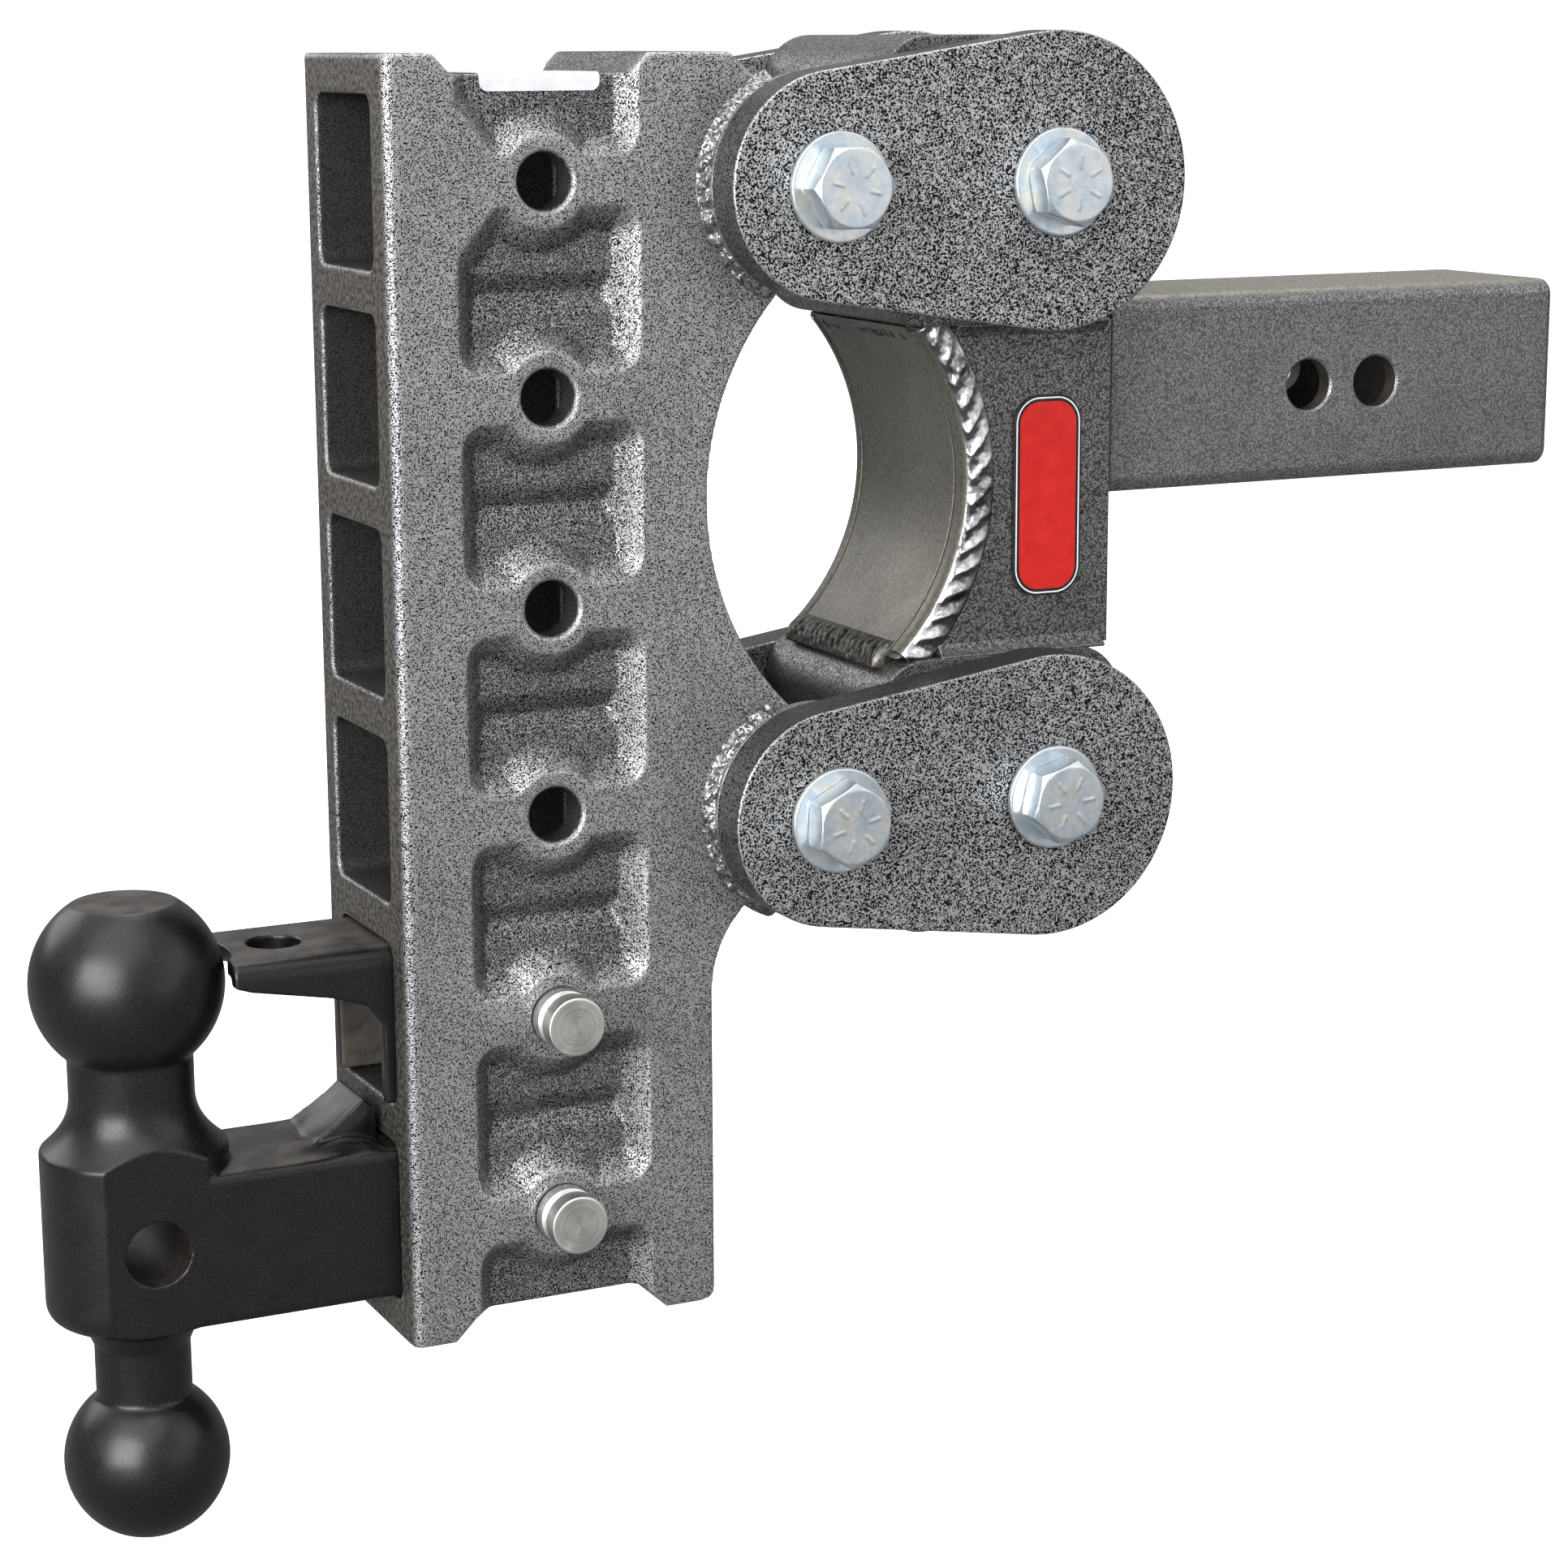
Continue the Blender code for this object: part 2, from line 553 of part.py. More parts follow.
def make_ball_mount(parent):
    """One forging: upper ball, neck, block with a cross hole, lower ball, and the bar."""
    upper_r = UPPER_BALL_D / 2
    lower_r = LOWER_BALL_D / 2
    neck_r = 19.0 * MM
    low_neck_r = 14.7 * MM
    bar_top = BAR_HOLE_Z + BAR_SIDE / 2
    bar_bottom = BAR_HOLE_Z - BAR_SIDE / 2
    block_top = bar_top + 6.0 * MM
    flat_angle = math.degrees(math.acos(15.5 * MM / upper_r))
    neck_angle = -math.degrees(math.acos(neck_r / upper_r))
    low_neck_angle = math.degrees(math.acos(low_neck_r / lower_r))
    profile = [(0, UPPER_BALL_Z + upper_r * math.sin(math.radians(flat_angle)))]
    profile += arc((0, UPPER_BALL_Z), upper_r, flat_angle, neck_angle, 9)
    flare = BLOCK_R - neck_r
    for step in range(5):
        share = step / 4
        profile.append((neck_r + flare * share ** 2.2, block_top + 17 * MM * (1 - share)))
    profile += [(BLOCK_R, bar_bottom + 5 * MM), (BLOCK_R - 2 * MM, bar_bottom + 1.5 * MM),
                (BLOCK_R - 7 * MM, bar_bottom - 1.0 * MM), (low_neck_r + 3 * MM, bar_bottom - 3 * MM),
                (low_neck_r, bar_bottom - 9 * MM)]
    profile += arc((0, LOWER_BALL_Z), lower_r, low_neck_angle, -90, 9)
    mesh = turned_mesh("ball_mount", profile, 28)
    at = (BALL_X, 0, 0)
    mount = add_part("ball_mount", mesh, "powder_black", parent, at)

    for sign in (-1, 1):
        low_y, high_y = sorted((sign * BAR_SIDE / 2, sign * 2 * BAR_SIDE / 2))
        flat_low = (-60 * MM, low_y, bar_bottom - 12 * MM)
        flat = box_mesh("block_flat", flat_low, (60 * MM, high_y, block_top + 7 * MM))
        boolean(mount, add_cutter("block_flat", flat, at))
    bar_low = (BALL_X, -BAR_SIDE / 2 + 0.01 * MM, bar_bottom)
    bar_high = (RACK_X + 24 * MM, BAR_SIDE / 2 - 0.01 * MM, bar_top)
    bar = add_cutter("mount_bar", box_mesh("mount_bar", bar_low, bar_high))
    bevel(bar, 2.0 * MM, 2)
    boolean(mount, bar, "UNION")
    side = [(-24, -4), (-22, 1), (-16.5, 5), (-6, 14.5), (-2.5, 10), (-2, -4)]
    outline = [(RACK_REAR_X + across * MM, bar_top + along * MM) for across, along in side]
    lug = plate_mesh("stop_lug", [outline], 24 * MM)
    boolean(mount, add_cutter("stop_lug", lug, turn=STANDING), "UNION")
    block_hole = rod_mesh("block_hole", 10 * MM, 2 * BAR_SIDE)
    boolean(mount, add_cutter("block_hole", block_hole, (BALL_X, 0, BAR_HOLE_Z + 2 * MM), STANDING))
    pin_hole = rod_mesh("bar_hole", HOLE_D / 2, 2 * BAR_SIDE)
    boolean(mount, add_cutter("bar_hole", pin_hole, (RACK_X, 0, BAR_HOLE_Z), STANDING))


def make_pintle_lock(parent):
    """Channel in the socket above the ball mount, whose nose reaches over beside the upper ball."""
    sheet = 4.8 * MM
    top_z = LOCK_HOLE_Z + SOCKET_H / 2 - 0.6 * MM
    bottom_z = LOCK_HOLE_Z - SOCKET_H / 2 + 0.7 * MM
    half = BAR_SIDE / 2
    fold = 4.0 * MM
    foot = 2.0 * MM
    section = arc((half - fold, top_z - fold), fold, 0, 90, 4)
    section += arc((fold - half, top_z - fold), fold, 90, 180, 4)
    section += [(-half, bottom_z + foot), (foot - half, bottom_z), (sheet - half, bottom_z),
                (sheet - half, top_z - sheet), (half - sheet, top_z - sheet), (half - sheet, bottom_z),
                (half - foot, bottom_z), (half, bottom_z + foot)]
    front_x = RACK_X + 22 * MM
    rear_x = RACK_REAR_X - 49 * MM
    mesh = plate_mesh("pintle_lock", [section], front_x - rear_x)
    middle_x = (front_x + rear_x) / 2
    turn = (math.pi / 2, 0, math.pi / 2)
    lock = add_part("pintle_lock", mesh, "powder_black", parent, (middle_x, 0, 0), turn)
    side = [(-50, 5), (-50, -6.3), (-44, -9), (-19, -13.8), (-8, -17.3), (-3, -24)]
    outline = [(RACK_REAR_X + across * MM, top_z + along * MM) for across, along in side]
    outline += [(RACK_REAR_X - 2 * MM, bottom_z - 5 * MM), (front_x + 5 * MM, bottom_z - 5 * MM),
                (front_x + 5 * MM, top_z + 5 * MM)]
    profile = add_cutter("lock_side", plate_mesh("lock_side", [outline], 2 * BAR_SIDE), turn=STANDING)
    boolean(lock, profile, "INTERSECT")
    around_ball = rod_mesh("ball_clearance", UPPER_BALL_D / 2 + 1.5 * MM, 60 * MM, 40)
    boolean(lock, add_cutter("ball_clearance", around_ball, (BALL_X, 0, top_z)))
    top_hole = rod_mesh("lock_top_hole", 8.3 * MM, 30 * MM, 20)
    boolean(lock, add_cutter("lock_top_hole", top_hole, (RACK_X - 79.5 * MM, 0, top_z)))
    pin_hole = rod_mesh("lock_hole", HOLE_D / 2, 2 * BAR_SIDE)
    boolean(lock, add_cutter("lock_hole", pin_hole, (RACK_X, 0, LOCK_HOLE_Z), STANDING))


def make_pin(level, hole_z, axis, clip_axis):
    """Hitch pin from the near side, its grooved head outside, and the ring clip in its far end."""
    face = RACK_W / 2 + GAP
    head_r = PIN_HEAD_D / 2
    tail = CLIP_Y + 6 * MM
    top = face + 13.8 * MM
    profile = [(0, top), (head_r - 0.7 * MM, top), (head_r, top - 0.7 * MM), (head_r, face + 7.6 * MM),
               (head_r - 2.4 * MM, face + 6.2 * MM), (head_r, face + 4.8 * MM), (head_r, face),
               (PIN_D / 2, face), (PIN_D / 2, 2 * MM - tail), (PIN_D / 2 - 2 * MM, -tail), (0, -tail)]
    mesh = turned_mesh(level + "_pin", profile, 20)
    pin = add_part(level + "_pin", mesh, "stainless", axis, (RACK_X, 0, hole_z), STANDING)
    hole = rod_mesh("clip_hole", CLIP_WIRE_D / 2 + GAP, 40 * MM, 12)
    boolean(pin, add_cutter("clip_hole", hole, (RACK_X, CLIP_Y, hole_z), (0, math.pi / 2, 0)))

    wire = CLIP_WIRE_D / 2
    ring_r = 9.0 * MM
    ring_x = -13 * MM - ring_r
    path = [(13 * MM, 0), (-10 * MM, 0)]
    path += arc((ring_x, 0), ring_r, 0, 325, 14)
    curve = bpy.data.curves.new(level + "_clip", "CURVE")
    curve.dimensions = "3D"
    curve.bevel_depth = wire
    curve.bevel_resolution = 1
    curve.use_fill_caps = True
    spline = curve.splines.new("POLY")
    spline.points.add(len(path) - 1)
    for point, (along, up) in zip(spline.points, path):
        point.co = (along, 0.0, up, 1.0)
    clip = bpy.data.objects.new(level + "_clip", curve)
    parts.objects.link(clip)
    curve.materials.append(finish("zinc"))
    clip.parent = clip_axis
    clip.location = (0, 0, 0)


# ---- assembly ------------------------------------------------------------------------------

def build():
    make_shank()
    make_frame()
    bolt = bolt_mesh()
    axes = {}
    for level, axis_z in (("upper", UPPER_Z), ("lower", LOWER_Z)):
        make_housing(level, axis_z)
        axes[level] = axis_empty(level + "_torsion_axis", (TORSION_X, 0, axis_z))
        make_arms(level, axes[level], bolt)

    rack_axis = axis_empty("rack_axis", (RACK_PIVOT_X, 0, UPPER_Z), axes["upper"])
    make_rack(rack_axis)
    for level, axis_z in (("upper", UPPER_Z), ("lower", LOWER_Z)):
        make_pivot_pieces(level, axis_z, rack_axis)
    make_label(rack_axis)
    make_ball_mount(rack_axis)
    make_pintle_lock(rack_axis)
    for level, hole_z in (("upper", LOCK_HOLE_Z), ("lower", BAR_HOLE_Z)):
        pin_axis = axis_empty(level + "_pin_axis", (RACK_X, 0, hole_z), rack_axis)
        clip_axis = axis_empty(level + "_clip_axis", (RACK_X, CLIP_Y, hole_z), pin_axis)
        make_pin(level, hole_z, pin_axis, clip_axis)


clear_scene()
parts = new_collection("trailer_hitch_with_ball")
cutters = new_collection("cutters")
build()
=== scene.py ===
from contextlib import contextmanager
from math import acos, asin, cos, degrees, floor, pi, radians, sin, sqrt, tan

import bmesh
import bpy
import numpy as np
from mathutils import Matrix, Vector, noise


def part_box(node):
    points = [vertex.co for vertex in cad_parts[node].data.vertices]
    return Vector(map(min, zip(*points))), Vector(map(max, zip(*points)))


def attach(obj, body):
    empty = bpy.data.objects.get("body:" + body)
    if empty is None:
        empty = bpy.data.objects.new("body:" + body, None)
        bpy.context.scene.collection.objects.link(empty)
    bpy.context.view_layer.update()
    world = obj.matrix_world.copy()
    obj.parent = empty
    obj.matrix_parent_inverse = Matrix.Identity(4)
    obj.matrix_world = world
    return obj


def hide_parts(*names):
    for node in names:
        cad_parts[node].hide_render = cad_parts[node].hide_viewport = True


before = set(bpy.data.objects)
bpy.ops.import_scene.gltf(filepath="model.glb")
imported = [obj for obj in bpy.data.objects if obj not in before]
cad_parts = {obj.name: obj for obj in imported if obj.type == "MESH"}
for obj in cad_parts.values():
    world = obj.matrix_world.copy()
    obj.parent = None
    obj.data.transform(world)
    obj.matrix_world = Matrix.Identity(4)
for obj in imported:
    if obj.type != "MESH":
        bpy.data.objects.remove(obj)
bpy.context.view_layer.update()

MM = 0.001
GAP = 0.3 * MM
VOXEL = 1.0


def centre(node):
    low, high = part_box(node)
    return (low + high) / 2


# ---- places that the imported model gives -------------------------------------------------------
RACK_LOW, RACK_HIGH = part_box("rack")
RACK_HALF_Y = RACK_HIGH.y
LOWER_PIN = centre("lower_pin")
UPPER_PIN = centre("upper_pin")
HOLE_X = LOWER_PIN.x
HOLE_PITCH = UPPER_PIN.z - LOWER_PIN.z
LEVELS = [LOWER_PIN.z + HOLE_PITCH * number for number in (5, 4, 3, 2, 1, 0)]
TRUCK_X = centre("upper_near_truck_washer").x
PIVOT_X = centre("upper_near_rack_washer").x
LEVEL_Z = {"upper": centre("upper_near_truck_washer").z, "lower": centre("lower_near_truck_washer").z}
SHANK_LOW, SHANK_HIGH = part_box("shank_tube")
PLATE_LOW, PLATE_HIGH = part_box("near_side_plate")
FRAME_FRONT_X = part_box("back_plate")[1].x

# sizes of the details, which repeat the model's own
WEB_RADIUS = 72.0 * MM
WEB_T = 9.5 * MM
WEB_CENTRE = (-232.5 * MM, -23.5 * MM)
HOUSING_SIDE = 88.9 * MM
HOUSING_CORNER = 17.0 * MM
HOUSING_HALF_Y = 41.3 * MM
CAVITY_SIDE = 56.0 * MM
ARM_INNER_Y = 41.8 * MM
ARM_T = 15.9 * MM
ARM_BIG_R = 45.7 * MM
ARM_SMALL_R = 34.5 * MM
BOLT_HOLE_D = 16.9 * MM
NOSE_R = 19.0 * MM
BUSH_D = 30.4 * MM
HOLE_D = 16.9 * MM
SOCKET_W = 49.2 * MM
SOCKET_H = 50.8 * MM
SOCKET_FRONT_X = HOLE_X + 28.0 * MM
GAP_ARC_CENTRE = (-156.4 * MM, -25.0 * MM)
GAP_ARC_R = 92.0 * MM
RECESS_X = HOLE_X + 1.0 * MM
RECESS_DEPTH = 6.0 * MM
LEVEL_RECESS_DEPTH = 7.2 * MM
BOSS_R = 13.5 * MM
TOP_NOTCH_Z = 103.5 * MM
BOTTOM_NOTCH_Z = -274.5 * MM
BALL_X = HOLE_X - 125.7 * MM
UPPER_BALL_R = 29.37 * MM
UPPER_BALL_Z = -164.0 * MM
LOWER_BALL_R = 25.4 * MM
LOWER_BALL_Z = -315.5 * MM
BAR_SIDE = 47.6 * MM
BLOCK_R = 28.6 * MM
CLIP_Y = centre("upper_clip").y
FLOOR_DROP = 22.0 * MM                  # room for the rack to swing down without touching the floor

# the most triangles that the densest pieces keep
RACK_TRIANGLES = 192000
MOUNT_TRIANGLES = 150000
LOCK_TRIANGLES = 90000
BOLT_TRIANGLES = 12000


# ---- materials --------------------------------------------------------------------------------

class Nodes:
    """The few node helpers that the materials and the world share."""

    def __init__(self, tree):
        self.tree = tree

    def node(self, kind, inputs=(), **settings):
        """A new node; inputs gives a value or a source for each input that is named."""
        made = self.tree.nodes.new(kind)
        for key, value in settings.items():
            setattr(made, key, value)
        for key, source in dict(inputs).items():
            self.link(source, made.inputs[key])
        return made

    def link(self, source, target):
        if isinstance(source, bpy.types.NodeSocket):
            self.tree.links.new(source, target)
        else:
            target.default_value = source

    def ramp(self, source, *stops):
        made = self.node("ShaderNodeValToRGB", {"Fac": source})
        band = made.color_ramp
        while len(band.elements) < len(stops):
            band.elements.new(0.5)
        for element, (position, colour) in zip(band.elements, stops):
            element.position = position
            element.color = (*(colour if isinstance(colour, tuple) else (colour,) * 3), 1.0)
        return made.outputs["Color"]

    def spread(self, source, low, high, to_low, to_high):
        inputs = {"Value": source, "From Min": low, "From Max": high, "To Min": to_low, "To Max": to_high}
        return self.node("ShaderNodeMapRange", inputs).outputs["Result"]

    def mix(self, share, one, two, blend="MIX"):
        one, two = ((*source, 1.0) if isinstance(source, tuple) else source for source in (one, two))
        return self.node("ShaderNodeMix", {"Factor": share, "A": one, "B": two}, data_type="RGBA",
                         blend_type=blend).outputs["Result"]

    def math(self, operation, *terms):
        return self.node("ShaderNodeMath", enumerate(terms), operation=operation).outputs["Value"]

    def split(self, vector, axis):
        return self.node("ShaderNodeSeparateXYZ", {"Vector": vector}).outputs[axis]


class Surface(Nodes):
    """A Principled material, with helpers for its finish."""

    def __init__(self, name, metallic, roughness, **constants):
        self.material = bpy.data.materials.new(name)
        self.material.use_nodes = True
        super().__init__(self.material.node_tree)
        self.shader = self.tree.nodes["Principled BSDF"]
        for key, value in {"Metallic": metallic, "Roughness": roughness, **constants}.items():
            self.shader.inputs[key.replace("_", " ")].default_value = value
        self.place = self.node("ShaderNodeTexCoord").outputs["Object"]

    def mapped(self, **settings):
        return self.node("ShaderNodeMapping", {"Vector": self.place, **settings}).outputs["Vector"]

    def noise(self, scale, detail=2.0, roughness=0.5, distortion=0.0, vector=None):
        inputs = {"Scale": scale, "Detail": detail, "Roughness": roughness, "Distortion": distortion}
        return self.node("ShaderNodeTexNoise", {"Vector": vector or self.place, **inputs}).outputs["Fac"]

    def colour(self, source):
        self.link(source, self.shader.inputs["Base Color"])

    def roughness(self, source, low, high, smoother, rougher):
        self.link(self.spread(source, low, high, smoother, rougher), self.shader.inputs["Roughness"])

    def bump(self, source, strength, distance=0.3 * MM):
        made = self.node("ShaderNodeBump", {"Strength": strength, "Distance": distance, "Height": source})
        self.link(made.outputs["Normal"], self.shader.inputs["Normal"])

    def grained(self, grain, dark, light, bump):
        """Colour and bump that follow one grain."""
        self.colour(self.ramp(grain, (0.3, dark), (0.7, light)))
        self.bump(grain, bump)
        return self.material

    def pointiness(self, low, high, to_low, to_high):
        source = self.node("ShaderNodeNewGeometry").outputs["Pointiness"]
        return self.spread(source, low, high, to_low, to_high)

    def facing(self, axis):
        """How far the surface faces along +X, +Y or +Z of the object."""
        return self.split(self.node("ShaderNodeNewGeometry").outputs["Normal"], axis)


def hammertone(name, dark, light, scale, sharp=0.25, level=0.5, bump=0.3, metallic=0.75, rough=0.38,
               turns=20.0, rear=None, top=None, side=None, recess_shade=None, flank=None):
    """Hammertone paint: metallic flakes drawn into long winding worms round dark hollows.

    The worms are the level lines of a noise, so they keep one width and one spacing."""
    surface = Surface(name + "_hammertone", metallic, rough)
    field = surface.math("MULTIPLY", surface.noise(scale, 0.8, 0.5, 0.3), turns)
    worms = surface.spread(surface.math("SINE", field), -1.0, 1.0, 0.0, 1.0)
    if recess_shade:                          # painted shade: the worms fade to black towards the floors of the recesses
        start, end, shade_strength = recess_shade
        off_middle = surface.math("ABSOLUTE", surface.split(surface.place, "Y"))
        worms = surface.math("SUBTRACT", worms, surface.spread(off_middle, start, end, 0.0, shade_strength))
    paint = surface.ramp(worms, (level - sharp, dark), (level + sharp, light))
    patches = surface.spread(surface.noise(28, 3.0), 0.3, 0.7, 0.84, 1.12)
    paint = surface.mix(1.0, paint, surface.ramp(patches, (0.0, 0.0), (1.0, 1.0)), "MULTIPLY")
    # painted light: the rear tones are painted shade on faces that point back along -X, and the top tones are
    # a painted sheen on faces that point up
    for axis, low, high, tones in (("X", -0.86, -0.99, rear), ("Z", 0.6, 0.97, top)):
        if tones:
            share = surface.spread(surface.facing(axis), low, high, 0.0, 1.0)
            soft = surface.ramp(surface.noise(620, 2.0), (0.40, tones[0]), (0.60, tones[1]))
            paint = surface.mix(share, paint, soft)
    # painted shade: faces that turn away from Y, the plate's edges, are darkened by the shade factor
    if flank:
        start, end, shade = flank
        darker = surface.spread(surface.math("ABSOLUTE", surface.facing("Y")), start, end, 1.0, shade)
        paint = surface.mix(1.0, paint, darker, "MULTIPLY")
    # painted highlight: convex edges are lifted towards a brighter copy of the light tone
    if side:
        share = surface.pointiness(0.515, 0.58, 0.0, side)
        paint = surface.mix(share, paint, tuple(min(1.0, 1.5 * value) for value in light))
    surface.colour(paint)
    surface.roughness(worms, 0.2, 0.8, rough + 0.12, rough - 0.06)
    surface.bump(worms, bump)
    return surface.material


def weld_silver():
    """Bright metal, with painted shade between the beads and on faces that point down."""
    weld = Surface("weld_silver", 0.9, 0.30)
    spots = weld.noise(900, 1.5, 0.5, 0.4)
    paint = weld.ramp(spots, (0.40, (0.05, 0.05, 0.052)), (0.56, (0.50, 0.51, 0.52)))
    # painted shade in the creases between the beads
    paint = weld.mix(weld.pointiness(0.44, 0.54, 0.0, 1.0), (0.05, 0.05, 0.05), paint)
    paint = weld.mix(weld.spread(weld.noise(70, 2.0), 0.38, 0.58, 0.1, 0.8), paint, (0.80, 0.81, 0.82))
    # painted shade on faces that point down
    weld.colour(weld.mix(1.0, paint, weld.spread(weld.facing("Z"), -0.2, 0.12, 0.22, 1.0), "MULTIPLY"))
    weld.roughness(spots, 0.3, 0.7, 0.40, 0.24)
    weld.bump(spots, 0.30)
    return weld.material


def weld_dark():
    weld = Surface("weld_dark", 0.7, 0.40)
    spots = weld.noise(800, 2.0)
    paint = weld.ramp(spots, (0.35, (0.05, 0.048, 0.042)), (0.65, (0.16, 0.155, 0.14)))
    # painted shade in the concave creases of the bead
    weld.colour(weld.mix(weld.pointiness(0.47, 0.55, 0.0, 1.0), (0.015, 0.014, 0.012), paint))
    weld.bump(spots, 0.25)
    return weld.material


def powder_coat():
    """Black powder coat with fine specks, worn edges and brown dust on its upper faces."""
    powder = Surface("powder_coat", 0.0, 0.34, Specular_IOR_Level=0.5)
    black = (0.0030, 0.0030, 0.0034)
    speck = powder.ramp(powder.noise(2300, 1.0), (0.62, black), (0.78, (0.030, 0.030, 0.033)))
    worn = powder.math("MULTIPLY", powder.pointiness(0.53, 0.62, 0.0, 0.55),
                       powder.spread(powder.noise(160, 3.0), 0.4, 0.65, 0.0, 1.0))
    paint = powder.mix(worn, speck, (0.07, 0.065, 0.06))
    dusty = powder.math("MULTIPLY", powder.spread(powder.facing("Z"), 0.90, 1.0, 0.0, 1.0),
                        powder.spread(powder.noise(110, 4.0), 0.38, 0.62, 0.15, 0.9))
    powder.colour(powder.mix(dusty, paint, (0.060, 0.050, 0.040)))
    powder.roughness(powder.noise(90, 3.0), 0.3, 0.7, 0.28, 0.40)
    powder.bump(powder.noise(700, 2.0), 0.10)
    return powder.material


def zinc_plate():
    zinc = Surface("zinc_plate", 1.0, 0.30)
    tint = zinc.ramp(zinc.noise(130, 2.0), (0.36, (0.64, 0.73, 0.80)), (0.52, (0.76, 0.82, 0.86)),
                     (0.72, (0.84, 0.84, 0.78)))
    paint = zinc.mix(1.0, tint, zinc.ramp(zinc.noise(420, 3.0), (0.3, 0.88), (0.7, 1.0)), "MULTIPLY")
    # painted highlight on convex edges
    zinc.colour(zinc.mix(zinc.pointiness(0.52, 0.60, 0.0, 0.6), paint, (0.90, 0.92, 0.94)))
    zinc.roughness(zinc.noise(600, 3.0), 0.3, 0.7, 0.30, 0.46)
    zinc.bump(zinc.noise(500, 2.0), 0.08)
    return zinc.material


def turned_steel(name, axis):
    """Stainless steel turned about a line along Y, so its marks are circles on the end faces."""
    steel = Surface(name, 1.0, 0.30, Anisotropic=0.75)
    shifted = steel.mapped(Location=(-axis.x, 0, -axis.z))
    flat = steel.node("ShaderNodeVectorMath", {0: shifted, 1: (1, 0, 1)}, operation="MULTIPLY")
    radius = steel.node("ShaderNodeVectorMath", {0: flat.outputs["Vector"]}, operation="LENGTH")
    rings = steel.node("ShaderNodeCombineXYZ", {"X": radius.outputs["Value"],
                                                "Y": steel.split(steel.place, "Y")})
    grooves = steel.noise(2600, 2.0, 0.6, 0.0, rings.outputs["Vector"])
    steel.colour(steel.ramp(grooves, (0.3, (0.60, 0.585, 0.55)), (0.7, (0.84, 0.825, 0.79))))
    steel.roughness(steel.noise(200, 2.0), 0.3, 0.7, 0.24, 0.36)
    steel.bump(grooves, 0.12, 0.1 * MM)
    tangent = steel.node("ShaderNodeTangent", direction_type="RADIAL", axis="Y")
    steel.link(tangent.outputs["Tangent"], steel.shader.inputs["Tangent"])
    return steel.material


